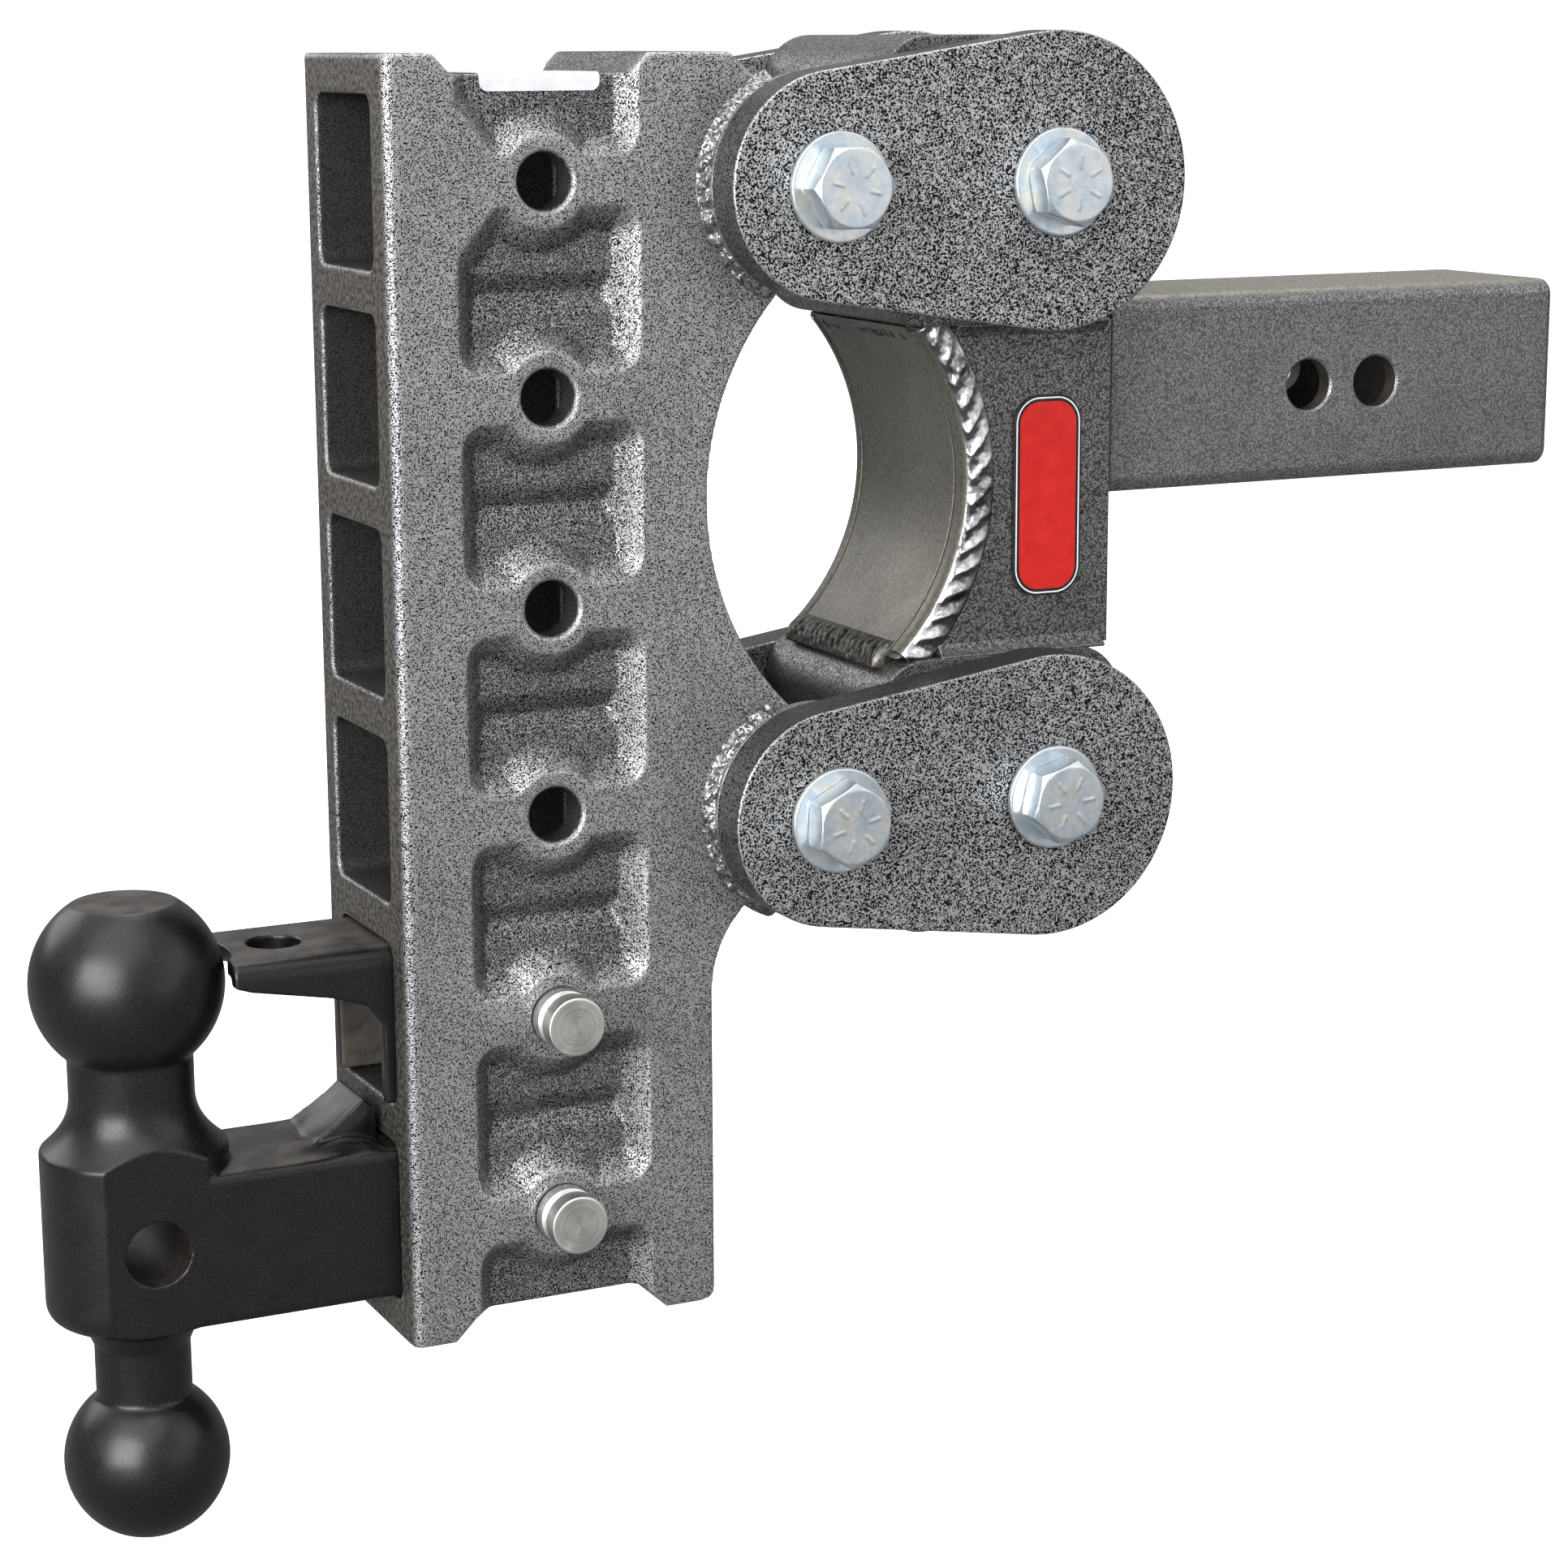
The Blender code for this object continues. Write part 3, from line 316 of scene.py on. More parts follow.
def make_materials():
    made = {"weld": weld_silver(), "dark_weld": weld_dark(), "powder": powder_coat(), "zinc": zinc_plate(),
            "upper_stainless": turned_steel("upper_stainless", UPPER_PIN),
            "lower_stainless": turned_steel("lower_stainless", LOWER_PIN)}
    for name, dark, light, scale, settings in (
            ("rack", (0.010, 0.010, 0.011), (0.46, 0.46, 0.472), 1550, dict(
                # painted light on the rack: side is a painted highlight on convex edges, and the recess
                # setting paints shade deeper into the recesses
                turns=16.5, level=0.52, sharp=0.17, side=0.6, recess_shade=(35.6 * MM, 30.0 * MM, 0.32),
                # painted shade on the rack's faces that point back
                rear=((0.055, 0.050, 0.043), (0.19, 0.176, 0.156)))),
            # a darker copy of the rack paint: painted shade inside the sockets and cross holes
            ("socket_shade", (0.024, 0.023, 0.022), (0.125, 0.121, 0.115), 1500, dict(
                sharp=0.3, bump=0.15, rough=0.48)),
            ("arm", (0.006, 0.006, 0.007), (0.54, 0.54, 0.545), 1220, dict(
                # flank paints shade on the arm plates' edge faces
                turns=16.5, level=0.66, sharp=0.16, bump=0.4, flank=(0.5, 0.1, 0.38),
                # painted sheen on the arms' faces that point up
                top=((0.12, 0.117, 0.105), (0.24, 0.23, 0.21)))),
            ("arm_rim", (0.10, 0.10, 0.10), (0.50, 0.50, 0.49), 1220, dict(
                turns=16.5, sharp=0.35, bump=0.2)),
            ("frame", (0.035, 0.035, 0.035), (0.23, 0.23, 0.232), 950, dict(
                # side is a painted highlight on convex edges, top a painted sheen on faces that point up
                sharp=0.36, bump=0.16, side=0.3, top=((0.13, 0.127, 0.114), (0.22, 0.215, 0.195)))),
            ("shank", (0.075, 0.074, 0.072), (0.26, 0.26, 0.258), 950, dict(
                # side is a painted highlight on convex edges, top a painted sheen on faces that point up
                sharp=0.42, bump=0.13, side=0.3, top=((0.20, 0.188, 0.156), (0.32, 0.300, 0.252)))),
            ("housing", (0.045, 0.044, 0.042), (0.22, 0.218, 0.212), 950, dict(
                # side is a painted highlight on convex edges
                sharp=0.36, bump=0.16, side=0.3)),
            ("lumpy_weld", (0.06, 0.06, 0.06), (0.34, 0.34, 0.34), 1150, dict(
                turns=14.0, sharp=0.4, bump=0.3, metallic=0.85, rough=0.30))):
        made[name] = hammertone(name, dark, light, scale, **settings)

    # plain grained finishes: metallic, roughness, specular level, grain, two tones and bump
    for name, metallic, rough, specular, grain, dark, light, bump in (
            # painted shade for the inside of the shank's bore and pin holes
            ("bore_shade", 0.2, 0.62, 0.5, (160, 4.0), (0.022, 0.020, 0.017), (0.055, 0.048, 0.040), 0.15),
            # painted shade for the wall of the ball mount's cross hole
            ("ball_bore_shade", 0.0, 0.6, 0.3, (300, 3.0), (0.004, 0.003, 0.003), (0.020, 0.013, 0.011), 0.2),
            # painted light: a lighter tone for the lock channel's inner faces, where the lamps reach little
            ("channel_fill_light", 0.25, 0.55, 0.5, (210, 4.0), (0.075, 0.068, 0.060), (0.145, 0.132, 0.117), 0.15),
            ("web_satin", 0.55, 0.42, 0.5, (900, 2.0), (0.10, 0.094, 0.080), (0.175, 0.166, 0.144), 0.12)):
        surface = Surface(name, metallic, rough, Specular_IOR_Level=specular)
        made[name] = surface.grained(surface.noise(*grain), dark, light, bump)
        if name == "web_satin":
            surface.roughness(surface.noise(60, 3.0), 0.3, 0.7, 0.36, 0.50)

    for name, dark, light, metallic, rough, scale, stretch in (
            ("bronze", (0.30, 0.17, 0.06), (0.46, 0.30, 0.13), 1.0, 0.38, 300, (1, 4, 1)),
            ("bar_steel", (0.16, 0.16, 0.165), (0.30, 0.30, 0.31), 1.0, 0.45, 260, (6, 0.6, 6)),
            ("rubber", (0.010, 0.010, 0.010), (0.026, 0.025, 0.024), 0.0, 0.78, 500, (1, 1, 1))):
        surface = Surface(name + "_finish", metallic, rough)
        grain = surface.noise(scale, 4.0, 0.6, 0.0, surface.mapped(Scale=stretch))
        surface.roughness(grain, 0.3, 0.7, rough - 0.08, rough + 0.08)
        made[name] = surface.grained(grain, dark, light, 0.15)

    for name, dark, light, rough in (
            ("badge_red", (0.47, 0.010, 0.008), (0.56, 0.016, 0.012), 0.28),
            ("badge_black", (0.008, 0.008, 0.009), (0.016, 0.016, 0.018), 0.30),
            ("badge_white", (0.74, 0.74, 0.74), (0.84, 0.84, 0.84), 0.34),
            ("label_white", (0.60, 0.61, 0.62), (0.70, 0.71, 0.73), 0.36)):
        surface = Surface(name + "_film", 0.0, rough, Specular_IOR_Level=0.3)
        surface.colour(surface.ramp(surface.noise(240, 4.0), (0.3, dark), (0.7, light)))
        surface.roughness(surface.noise(90, 2.0), 0.3, 0.7, rough, rough + 0.14)
        surface.bump(surface.noise(1400, 2.0), 0.04)
        made[name] = surface.material
    return made


# ---- mesh helpers -----------------------------------------------------------------------------

def added(data, name="working"):
    """A new object in the scene."""
    item = bpy.data.objects.new(name, data)
    bpy.context.scene.collection.objects.link(item)
    return item


def baked(item):
    """The object's evaluated mesh; the object itself goes."""
    bpy.context.view_layer.update()
    mesh = bpy.data.meshes.new_from_object(item.evaluated_get(bpy.context.evaluated_depsgraph_get()))
    bpy.data.objects.remove(item, do_unlink=True)
    return mesh


def modified(mesh, kind, **settings):
    """The mesh after one modifier."""
    item = added(mesh)
    change = item.modifiers.new("change", kind)
    for key, value in settings.items():
        setattr(change, key, value)
    return baked(item)


@contextmanager
def edited(mesh):
    """The mesh as a bmesh, written back at the end with its normals facing out."""
    form = bmesh.new()
    form.from_mesh(mesh)
    yield form
    bmesh.ops.recalc_face_normals(form, faces=form.faces)
    form.to_mesh(mesh)
    form.free()


def shaded(mesh, angle=40.0):
    """Smooth shading that keeps flat faces flat."""
    mesh.shade_smooth()
    mesh.set_sharp_from_angle(angle=radians(angle))
    return modified(mesh, "WEIGHTED_NORMAL", weight=60, keep_sharp=True)


def arc(middle, radius, start, end, steps):
    """Points of an arc, angles in degrees from the first axis towards the second."""
    points = []
    for step in range(steps + 1):
        angle = radians(start + (end - start) * step / steps)
        points.append((middle[0] + radius * cos(angle), middle[1] + radius * sin(angle)))
    return points


def circle(middle, radius, steps=64):
    return arc(middle, radius, 0.0, 360.0 * (steps - 1) / steps, steps - 1)


def filleted(points, closed=True, steps=6):
    """Round a polygon's corners; each point is (x, y, radius)."""
    result = []
    count = len(points)
    for index, (x, y, radius) in enumerate(points):
        if radius <= 0 or (not closed and index in (0, count - 1)):
            result.append((x, y))
            continue
        corner = Vector((x, y))
        before = Vector(points[index - 1][:2]) - corner
        after = Vector(points[(index + 1) % count][:2]) - corner
        turn = before.angle(after)
        reach = min(radius / tan(turn / 2), 0.49 * before.length, 0.49 * after.length)
        start = corner + before.normalized() * reach
        end = corner + after.normalized() * reach
        for step in range(steps + 1):
            share = step / steps
            one = start.lerp(corner, share)
            two = corner.lerp(end, share)
            result.append(tuple(one.lerp(two, share)))
    return result


def rounded_rectangle(middle, width, height, radius, steps=6):
    result = []
    for sign_x, sign_z, start in ((1, 1, 0), (-1, 1, 90), (-1, -1, 180), (1, -1, 270)):
        corner = (middle[0] + sign_x * (width / 2 - radius), middle[1] + sign_z * (height / 2 - radius))
        result += arc(corner, radius, start, start + 90, steps)
    return result


def drawn(outlines, closed, **settings):
    """Mesh of a curve along the outlines."""
    curve = bpy.data.curves.new("curve", "CURVE")
    for key, value in settings.items():
        setattr(curve, key, value)
    for outline in outlines:
        spline = curve.splines.new("POLY")
        spline.points.add(len(outline) - 1)
        for point, place in zip(spline.points, outline):
            point.co = (*place, 1.0)
        spline.use_cyclic_u = closed
    mesh = baked(added(curve))
    bpy.data.curves.remove(curve)
    return mesh


def plate(outlines, thickness, edge=0.0, axis="Y", at=0.0, rounds=3):
    """Flat plate from closed outlines, the first outside and the rest holes, with rounded rims.

    axis Y: outlines are in X-Z and the plate's middle is at y = at.
    axis X: outlines are in Y-Z.  axis Z: outlines are in X-Y."""
    mesh = drawn([[(*place, 0.0) for place in outline] for outline in outlines], True, dimensions="2D",
                 fill_mode="BOTH", extrude=thickness / 2 - edge, bevel_depth=edge, offset=-edge,
                 bevel_resolution=rounds)
    with edited(mesh) as form:
        for vert in form.verts:
            a, b, c = vert.co
            vert.co = {"Y": (a, at - c, b), "X": (at + c, a, b), "Z": (a, b, at + c)}[axis]
        bmesh.ops.remove_doubles(form, verts=form.verts, dist=0.005 * MM)
    mesh.materials.clear()
    return mesh


def turned(profile, steps=96, at=(0, 0, 0), axis="Y", closed=False):
    """Turned solid; profile points are (radius, distance along the axis)."""
    mesh = bpy.data.meshes.new("turned")
    edges = [(index, index + 1) for index in range(len(profile) - 1)]
    if closed:
        edges.append((len(profile) - 1, 0))
    mesh.from_pydata([(radius, 0.0, along) for radius, along in profile], edges, [])
    mesh = modified(mesh, "SCREW", steps=steps, render_steps=steps, use_merge_vertices=True,
                    merge_threshold=0.005 * MM)
    with edited(mesh) as form:
        for vert in form.verts:
            a, b, c = vert.co
            a, b, c = (a, b, c) if axis == "Z" else (a, c, -b)
            vert.co = (a + at[0], b + at[1], c + at[2])
        bmesh.ops.remove_doubles(form, verts=form.verts, dist=0.002 * MM)
    return mesh


def rod(radius, start, end, steps=48):
    """Cylinder between two points."""
    start, end = Vector(start), Vector(end)
    mesh = bpy.data.meshes.new("rod")
    with edited(mesh) as form:
        bmesh.ops.create_cone(form, cap_ends=True, segments=steps, radius1=radius, radius2=radius,
                              depth=(end - start).length)
        turn = (end - start).to_track_quat("Z", "Y").to_matrix().to_4x4()
        bmesh.ops.transform(form, matrix=turn, verts=form.verts)
        bmesh.ops.translate(form, vec=(start + end) / 2, verts=form.verts)
    return mesh


def block(low, high):
    mesh = bpy.data.meshes.new("block")
    with edited(mesh) as form:
        bmesh.ops.create_cube(form, size=1.0)
        for vert in form.verts:
            vert.co = [(low[k] + high[k]) / 2 + vert.co[k] * (high[k] - low[k]) for k in range(3)]
    return mesh


def combined(mesh, *steps):
    """Boolean steps on a mesh, each ("DIFFERENCE" or "UNION" or "INTERSECT", mesh, ...)."""
    item = added(mesh)
    others = []
    for operation, *meshes in steps:
        for other in meshes:
            tool = added(other)
            others.append(tool)
            cut = item.modifiers.new("cut", "BOOLEAN")
            cut.operation = operation
            cut.solver = "EXACT"
            cut.object = tool
    mesh = baked(item)
    for tool in others:
        bpy.data.objects.remove(tool, do_unlink=True)
    return mesh


def remeshed(mesh, voxel, relax):
    """Even skin over a built-up shape: small radii on all edges, as on a casting or forging."""
    mesh = modified(mesh, "REMESH", mode="VOXEL", voxel_size=voxel * VOXEL)
    return modified(mesh, "SMOOTH", factor=0.5, iterations=relax)


def thinned(mesh, triangles):
    """Fewer triangles where the surface is flat."""
    present = sum(len(face.vertices) - 2 for face in mesh.polygons)
    if present > triangles:
        mesh = modified(mesh, "DECIMATE", ratio=triangles / present)
    mesh.shade_smooth()
    return mesh


def points_of(mesh):
    flat = np.empty(len(mesh.vertices) * 3, np.float32)
    mesh.vertices.foreach_get("co", flat)
    return flat.reshape(-1, 3).astype(float)


def set_points(mesh, points):
    mesh.vertices.foreach_set("co", points.astype(np.float32).ravel())
    mesh.update()


def piece(name, mesh, material, body, slot, *nodes, second=None):
    """Add a piece; second is (material, test), where test takes the faces' x, y, z and normals."""
    mesh.materials.clear()
    mesh.materials.append(MATERIALS[material])
    if second:
        mesh.materials.append(MATERIALS[second[0]])
        middles, normals = (np.empty(len(mesh.polygons) * 3, np.float32) for _ in range(2))
        mesh.polygons.foreach_get("center", middles)
        mesh.polygons.foreach_get("normal", normals)
        chosen = second[1](*middles.reshape(-1, 3).T, normals.reshape(-1, 3))
        mesh.polygons.foreach_set("material_index", chosen.astype(np.int32))
    item = added(mesh, name)
    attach(item, body)
    if nodes:
        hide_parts(*nodes)
    return item


# ---- rack -------------------------------------------------------------------------------------

def rack_outline():
    """Side view of the rack: straight rear, two pivot noses and the round gap between them."""
    upper = (PIVOT_X, LEVEL_Z["upper"])
    lower = (PIVOT_X, LEVEL_Z["lower"])
    rear_x, front_x, bottom, top = RACK_LOW.x, HOLE_X + 52 * MM, RACK_LOW.z, RACK_HIGH.z
    outline = [(rear_x, bottom)]
    outline += arc((front_x - 4 * MM, bottom + 4 * MM), 4 * MM, 270, 360, 4)
    outline += arc((front_x + 36 * MM, -180 * MM), 36 * MM, 180, 127, 24)
    outline += arc(lower, NOSE_R, -62, 62, 24)
    outline += arc(GAP_ARC_CENTRE, GAP_ARC_R, 225.5, 137, 64)
    outline += arc(upper, NOSE_R, -62, 42, 24)
    outline += [(HOLE_X + 75 * MM, top - 12.5 * MM), (HOLE_X + 60 * MM, top), (rear_x, top)]
    return outline


def blended_low(one, two, width):
    share = np.clip(0.5 + 0.5 * (two - one) / width, 0, 1)
    return one * share + two * (1 - share) - width * share * (1 - share)


def recess_depth(x, z):
    """How far the cast recesses lie below the rack's side faces, for arrays of places."""
    total = np.zeros_like(x)
    half_x, corner, steep = 29 * MM, 7 * MM, 0.82
    end_half = 20 * MM
    spans = [((above + below) / 2, 24.6 * MM, (above, below), True)
             for above, below in zip(LEVELS, LEVELS[1:])]
    spans.append((LEVELS[0] + 7.2 * MM + end_half, end_half, LEVELS[:1], False))
    spans.append((LEVELS[-1] - 7.2 * MM - end_half, end_half, LEVELS[-1:], False))
    for number, (middle_z, half_z, bosses, groove) in enumerate(spans):
        across = x - RECESS_X
        up = (z - middle_z) * steep
        out_x = np.abs(across) - (half_x - corner)
        out_z = np.abs(up) - (half_z * steep - corner)
        outside = np.hypot(np.maximum(out_x, 0), np.maximum(out_z, 0))
        depth = (corner - outside - np.minimum(np.maximum(out_x, out_z), 0)) * 1.15
        if number in (0, 5):            # the corner that is cut off beside the top hole
            sign = 1 if number == 0 else -1
            diagonal = (across + half_x + half_z * steep - sign * up - 12 * MM) * sqrt(0.5)
            depth = blended_low(depth, diagonal, 1.5 * MM)
        for level in bosses:
            ring = (np.hypot(x - HOLE_X, z - level) - BOSS_R) * 0.95
            depth = blended_low(depth, ring, 1.2 * MM)
        floor = np.full_like(x, LEVEL_RECESS_DEPTH if groove else RECESS_DEPTH)
        if groove:
            valley = 3.6 * MM - np.hypot(up / steep + 1.5 * MM, 0.7 * MM) * 0.60
            floor = floor + -blended_low(-valley, np.zeros_like(x), 0.8 * MM)
        depth = blended_low(depth, floor, 1.2 * MM)
        depth = -blended_low(-depth, np.zeros_like(x), 0.3 * MM)
        total = np.maximum(total, depth)
    rim = np.full_like(x, 0.0)
    for level in LEVELS:                # small chamfer round each cross hole
        ring = HOLE_D / 2 + 0.9 * MM - np.hypot(x - HOLE_X, z - level)
        rim = np.maximum(rim, np.clip(ring, 0, 0.9 * MM))
    return total + rim


def make_rack():
    bores = [circle((PIVOT_X, LEVEL_Z[level]), BUSH_D / 2 + GAP, 64) for level in ("upper", "lower")]
    body = plate([rack_outline()] + bores, 2 * RACK_HALF_Y)
    plan = [(RACK_LOW.x, -RACK_HALF_Y, 5 * MM), (RACK_HIGH.x + 9 * MM, -RACK_HALF_Y, 0),
            (RACK_HIGH.x + 9 * MM, RACK_HALF_Y, 0), (RACK_LOW.x, RACK_HALF_Y, 5 * MM)]
    tall = RACK_HIGH.z - RACK_LOW.z + 20 * MM
    column = plate([filleted(plan, steps=8)], tall, 0, "Z", (RACK_HIGH.z + RACK_LOW.z) / 2)
    cutters = []
    for level in LEVELS:
        reach = SOCKET_FRONT_X - RACK_LOW.x + 10 * MM
        outline = rounded_rectangle((0, level), SOCKET_W, SOCKET_H, 4.5 * MM)
        cutters.append(plate([outline], reach, 0, "X", SOCKET_FRONT_X - reach / 2))
        cutters.append(rod(HOLE_D / 2, (HOLE_X, -0.1, level), (HOLE_X, 0.1, level), 64))
    for floor_z, sign in ((TOP_NOTCH_Z, 1), (BOTTOM_NOTCH_Z, -1)):
        half, rise, x = 28 * MM, 12 * MM, HOLE_X - 0.5 * MM
        saddle = [(x - half, floor_z, 1.5 * MM), (x + half, floor_z, 1.5 * MM),
                  (x + half + rise, floor_z + sign * rise, 0), (x - half - rise, floor_z + sign * rise, 0)]
        cutters.append(plate([filleted(saddle)], 4 * RACK_HALF_Y))
    mesh = combined(body, ("INTERSECT", column), ("DIFFERENCE", *cutters))
    mesh = remeshed(mesh, 0.74 * MM, 2)

    points = points_of(mesh)
    depth = recess_depth(points[:, 0], points[:, 2])
    wall = SOCKET_W / 2
    share = np.clip((np.abs(points[:, 1]) - wall) / (RACK_HALF_Y - wall), 0, 1)
    points[:, 1] -= np.sign(points[:, 1]) * share * depth
    set_points(mesh, points)
    mesh = thinned(modified(mesh, "SMOOTH", factor=0.5, iterations=1), RACK_TRIANGLES)

    # faces inside the sockets and cross holes take the darker copy of the paint, painted shade
    def inside(x, y, z, normals):
        within = (x > RACK_LOW.x + 1.2 * MM) & (x < SOCKET_FRONT_X + 0.6 * MM)
        within &= (np.abs(y) < wall + 0.7 * MM) & (z < TOP_NOTCH_Z - 2 * MM)
        deep = np.abs(y) < RACK_HALF_Y - 1.5 * MM
        for level in LEVELS:
            within |= deep & (np.hypot(x - HOLE_X, z - level) < HOLE_D / 2 + 0.3 * MM)
        return within

    piece("rack_casting", mesh, "rack", "drop_rack", "hammertone_fine", "rack", second=("socket_shade", inside))


def make_pads():
    flat = degrees(acos(NOSE_R / ARM_SMALL_R))
    thickness = HOUSING_HALF_Y - RACK_HALF_Y - GAP
    for level in ("upper", "lower"):
        middle = (PIVOT_X, LEVEL_Z[level])
        outline = arc(middle, ARM_SMALL_R - 0.5 * MM, flat, 360 - flat, 72)
        for side, sign in (("near", -1), ("far", 1)):
            node = "%s_%s_pad" % (level, side)
            mesh = plate([outline, circle(middle, BUSH_D / 2 + GAP)], thickness, 0.5 * MM,
                         at=sign * (HOUSING_HALF_Y - thickness / 2), rounds=2)
            piece(node + "_boss", shaded(mesh), "rack", "drop_rack", "hammertone_fine", node)


# ---- welds ------------------------------------------------------------------------------------

def weld(name, frames, section, pitch, ripple, chevron=0.0, slant=0.0, rough=0.0, seed=1, material="weld",
         body="frame", slot="hammertone_fine", second=None):
    """Weld bead along a row of frames (origin, axis a, axis b).

    section points are (a, b, weight, across): weight is the share of the ripple that the point
    takes, and across runs from -1 to 1 over the visible crown."""
    random = np.random.default_rng(seed)
    jitter = random.uniform(0.75, 1.25, 400)
    wander = random.uniform(-0.12, 0.12, 400)
    count = len(section)
    normals = []
    for index in range(count):
        before, after = section[index - 1], section[(index + 1) % count]
        normals.append(Vector((after[1] - before[1], before[0] - after[0])).normalized())
    points, faces = [], []
    travelled = 0.0
    total = sum((Vector(two[0]) + two[1] * section[0][0] - Vector(one[0]) - one[1] * section[0][0]).length
                for one, two in zip(frames, frames[1:]))
    previous = None
    for origin, axis_a, axis_b in frames:
        origin = Vector(origin)
        key = origin + axis_a * section[0][0]
        if previous is not None:
            travelled += (key - previous).length
        previous = key
        taper = min(1.0, 0.25 + travelled / (3 * MM), 0.25 + (total - travelled) / (3 * MM))
        for (a, b, weight, across), normal in zip(section, normals):
            phase = travelled / pitch + chevron * abs(across) + slant * across
            bead = int(floor(phase)) % 400
            crest = abs(sin(pi * (phase + wander[bead] * 0.5)))
            spot = origin + axis_a * a + axis_b * b
            lumps = rough * (noise.noise(spot * 260) + 0.6 * noise.noise(spot * 620))
            lift = weight * taper * (ripple * (crest * jitter[bead] - 0.55) + lumps)
            points.append(spot + axis_a * (normal.x * lift) + axis_b * (normal.y * lift))
    rows = len(frames)
    for row in range(rows - 1):
        for index in range(count):
            after = (index + 1) % count
            faces.append((row * count + index, row * count + after,
                          (row + 1) * count + after, (row + 1) * count + index))
    faces.append(tuple(range(count)))
    faces.append(tuple((rows - 1) * count + index for index in reversed(range(count))))
    mesh = bpy.data.meshes.new(name)
    mesh.from_pydata([tuple(point) for point in points], [], faces)
    with edited(mesh):
        pass
    mesh.shade_smooth()
    return piece(name, mesh, material, body, slot, second=second)


def crown(start, top, end, sunk, steps=18, still=-1.0):
    """Section of a bead: a smooth crown from start over top to end, closed below through sunk points.

    The ripple dies away towards the start, below the place across = still."""
    section = []
    for step in range(steps + 1):
        share = step / steps
        across = 2 * share - 1
        one = Vector(start).lerp(Vector(top), share)
        two = Vector(top).lerp(Vector(end), share)
        spot = one.lerp(two, share)
        weight = (1 - across ** 4) * min(1.0, max(0.0, (across - still) / 0.3))
        section.append((spot.x, spot.y, weight, across))
    return section + [(a, b, 0.0, 0.0) for a, b in sunk]


def web_angle(height, radius):
    return degrees(asin((height - WEB_CENTRE[1]) / radius))


def line_frames(start, end, step_mm, *axes):
    """Frames along a straight line, with axes a and b the same all the way."""
    count = int(max(last - first for first, last in zip(start, end)) / (step_mm * MM))
    return [([first + (last - first) * k / count for first, last in zip(start, end)], *map(Vector, axes))
            for k in range(count + 1)]


def ring_frames(middle, start, end, step_mm, radius, side):
    """Frames about a line along Y: axis a points outwards and axis b towards the side."""
    count = max(8, int(abs(radians(end - start)) * radius / (step_mm * MM)))
    frames = []
    for step in range(count + 1):
        angle = radians(start + (end - start) * step / count)
        frames.append(((middle[0], 0, middle[1]), Vector((cos(angle), 0, sin(angle))),
                       Vector((0, side, 0))))
    return frames


